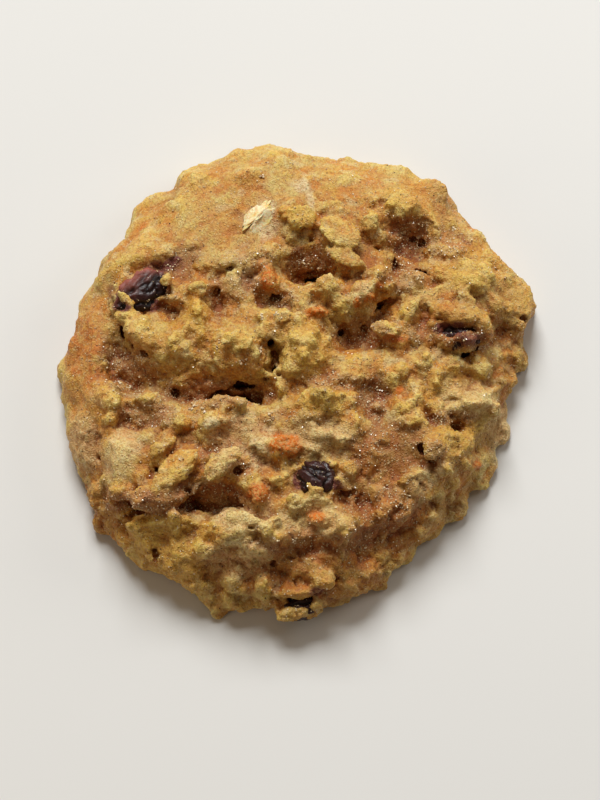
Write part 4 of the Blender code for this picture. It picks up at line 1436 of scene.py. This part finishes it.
class COOKIE_OT_sugar(bpy.types.Operator):
    """Scatter sugar grains, mostly in the moist hollows"""

    bl_idname = "cookie.sugar"
    bl_label = "Sugar"

    def execute(self, context):
        settings = context.scene.cookie
        dough = bpy.data.objects["dough"]
        points, normals, _, _ = mesh_arrays(dough.data)
        stain = attribute_values(dough.data, "stain")
        hole_shade = attribute_values(dough.data, "hole_shade")
        weight = (0.10 + stain) * np.clip(normals[:, 2], 0.0, 1.0) * (1 - hole_shade) * (points[:, 2] > 0.004)
        steps = np.cumsum(weight)
        draw = random.Random(SEED + 1)
        bm = bmesh.new()
        for _ in range(settings.sugar_grains):
            index = int(np.searchsorted(steps, draw.random() * steps[-1]))
            self.add_grain(bm, Vector(points[index]), Vector(normals[index]), settings.sugar_size, draw)
        tree = BVHTree.FromObject(dough, context.evaluated_depsgraph_get())
        for x, y in GLINTS:
            place, normal = seen(tree, x, y)
            for _ in range(GLINT_GRAINS):
                near = place + Vector((draw.gauss(0, GLINT_SPREAD), draw.gauss(0, GLINT_SPREAD), 0.0)) * MM
                spot, facing, _, _ = tree.find_nearest(near)
                self.add_grain(bm, spot, facing, settings.sugar_size * 1.8, draw)
        for name in RAISIN_PLACES:
            skin = bpy.data.objects[raisin_piece(name)].data
            for vertex in draw.sample(list(skin.vertices), RAISIN_GRAINS):
                if vertex.normal.z > 0.1:
                    self.add_grain(bm, vertex.co, vertex.normal, settings.sugar_size * 0.7, draw)
        sugar = new_piece("sugar_grains", bm, sugar_material(settings))
        sugar.data.shade_flat()
        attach(sugar, "root")
        return {"FINISHED"}

    def add_grain(self, bm, place, normal, width, draw):
        """One small block of sugar that sits half sunk in the dough."""
        size = width * draw.uniform(0.6, 1.4)
        turn = Euler([draw.uniform(0, math.tau) for _ in range(3)]).to_matrix().to_4x4()
        stretch = Matrix.Diagonal((1.0, draw.uniform(0.6, 1.0), draw.uniform(0.5, 0.9), 1.0))
        matrix = Matrix.Translation(place + normal * size * 0.1) @ turn @ stretch
        grain = bmesh.new()
        bmesh.ops.create_cube(grain, size=size, matrix=matrix)
        pour(grain, bm)


class COOKIE_OT_stage(bpy.types.Operator):
    """Set the floor, the lights and the camera"""

    bl_idname = "cookie.stage"
    bl_label = "Stage"

    def execute(self, context):
        settings = context.scene.cookie
        bm = bmesh.new()
        bmesh.ops.create_grid(bm, x_segments=1, y_segments=1, size=FLOOR_SIZE)
        floor = new_piece("floor", bm, floor_material(settings))
        world = bpy.data.worlds.new("studio")
        world.use_nodes = True
        background = world.node_tree.nodes["Background"]
        background.inputs["Color"].default_value = FILL_COLOUR
        background.inputs["Strength"].default_value = settings.fill_light
        context.scene.world = world
        for name, place, width, share, colour in LIGHTS:
            self.add_light(name, place, width, settings.key_power * share, colour)
        self.add_camera(context.scene, settings)
        context.scene.view_settings.view_transform = "Standard"
        return {"FINISHED"}

    def add_light(self, name, place, width, power, colour):
        """Square soft light that faces the cookie."""
        light = bpy.data.lights.new(name, "AREA")
        light.size = width
        light.energy = power
        light.color = colour
        lamp = bpy.data.objects.new(name, light)
        lamp.location = place
        lamp.rotation_euler = (-Vector(place)).to_track_quat("-Z", "Y").to_euler()
        bpy.context.scene.collection.objects.link(lamp)

    def add_camera(self, scene, settings):
        """Camera that looks down at the photograph's angle."""
        lens = bpy.data.cameras.new("camera")
        lens.sensor_width = 36.0
        lens.lens = settings.camera_lens
        lens.clip_start = 0.01
        camera = bpy.data.objects.new("camera", lens)
        tilt = math.radians(VIEW_ELEVATION)
        back = Vector((0.0, -math.cos(tilt), math.sin(tilt)))
        camera.location = CAMERA_TARGET + back * settings.camera_distance
        camera.rotation_euler = (-back).to_track_quat("-Z", "Y").to_euler()
        scene.collection.objects.link(camera)
        scene.camera = camera


OPERATORS = (COOKIE_OT_dough, COOKIE_OT_raisins, COOKIE_OT_flakes, COOKIE_OT_sugar, COOKIE_OT_stage)


class COOKIE_PT_pieces(bpy.types.Panel):
    """Lists the cookie's pieces and settings"""

    bl_label = "Cookie"
    bl_space_type = "VIEW_3D"
    bl_region_type = "UI"
    bl_category = "Cookie"

    def draw(self, context):
        for operator in OPERATORS:
            self.layout.operator(operator.bl_idname)
        for name in CookieSettings.__annotations__:
            self.layout.prop(context.scene.cookie, name)


CLASSES = (CookieSettings, *OPERATORS, COOKIE_PT_pieces)


def register():
    """Makes the settings, operators and panel known to Blender."""
    for item in CLASSES:
        bpy.utils.register_class(item)
    bpy.types.Scene.cookie = PointerProperty(type=CookieSettings)


def unregister():
    """Takes the panel, operators and settings away again."""
    del bpy.types.Scene.cookie
    for item in reversed(CLASSES):
        bpy.utils.unregister_class(item)


def main():
    """Makes every piece and the stage."""
    register()
    bpy.ops.cookie.dough()
    bpy.ops.cookie.raisins()
    bpy.ops.cookie.flakes()
    bpy.ops.cookie.sugar()
    bpy.ops.cookie.stage()
    bpy.context.view_layer.update()


if __name__ == "__main__":
    main()
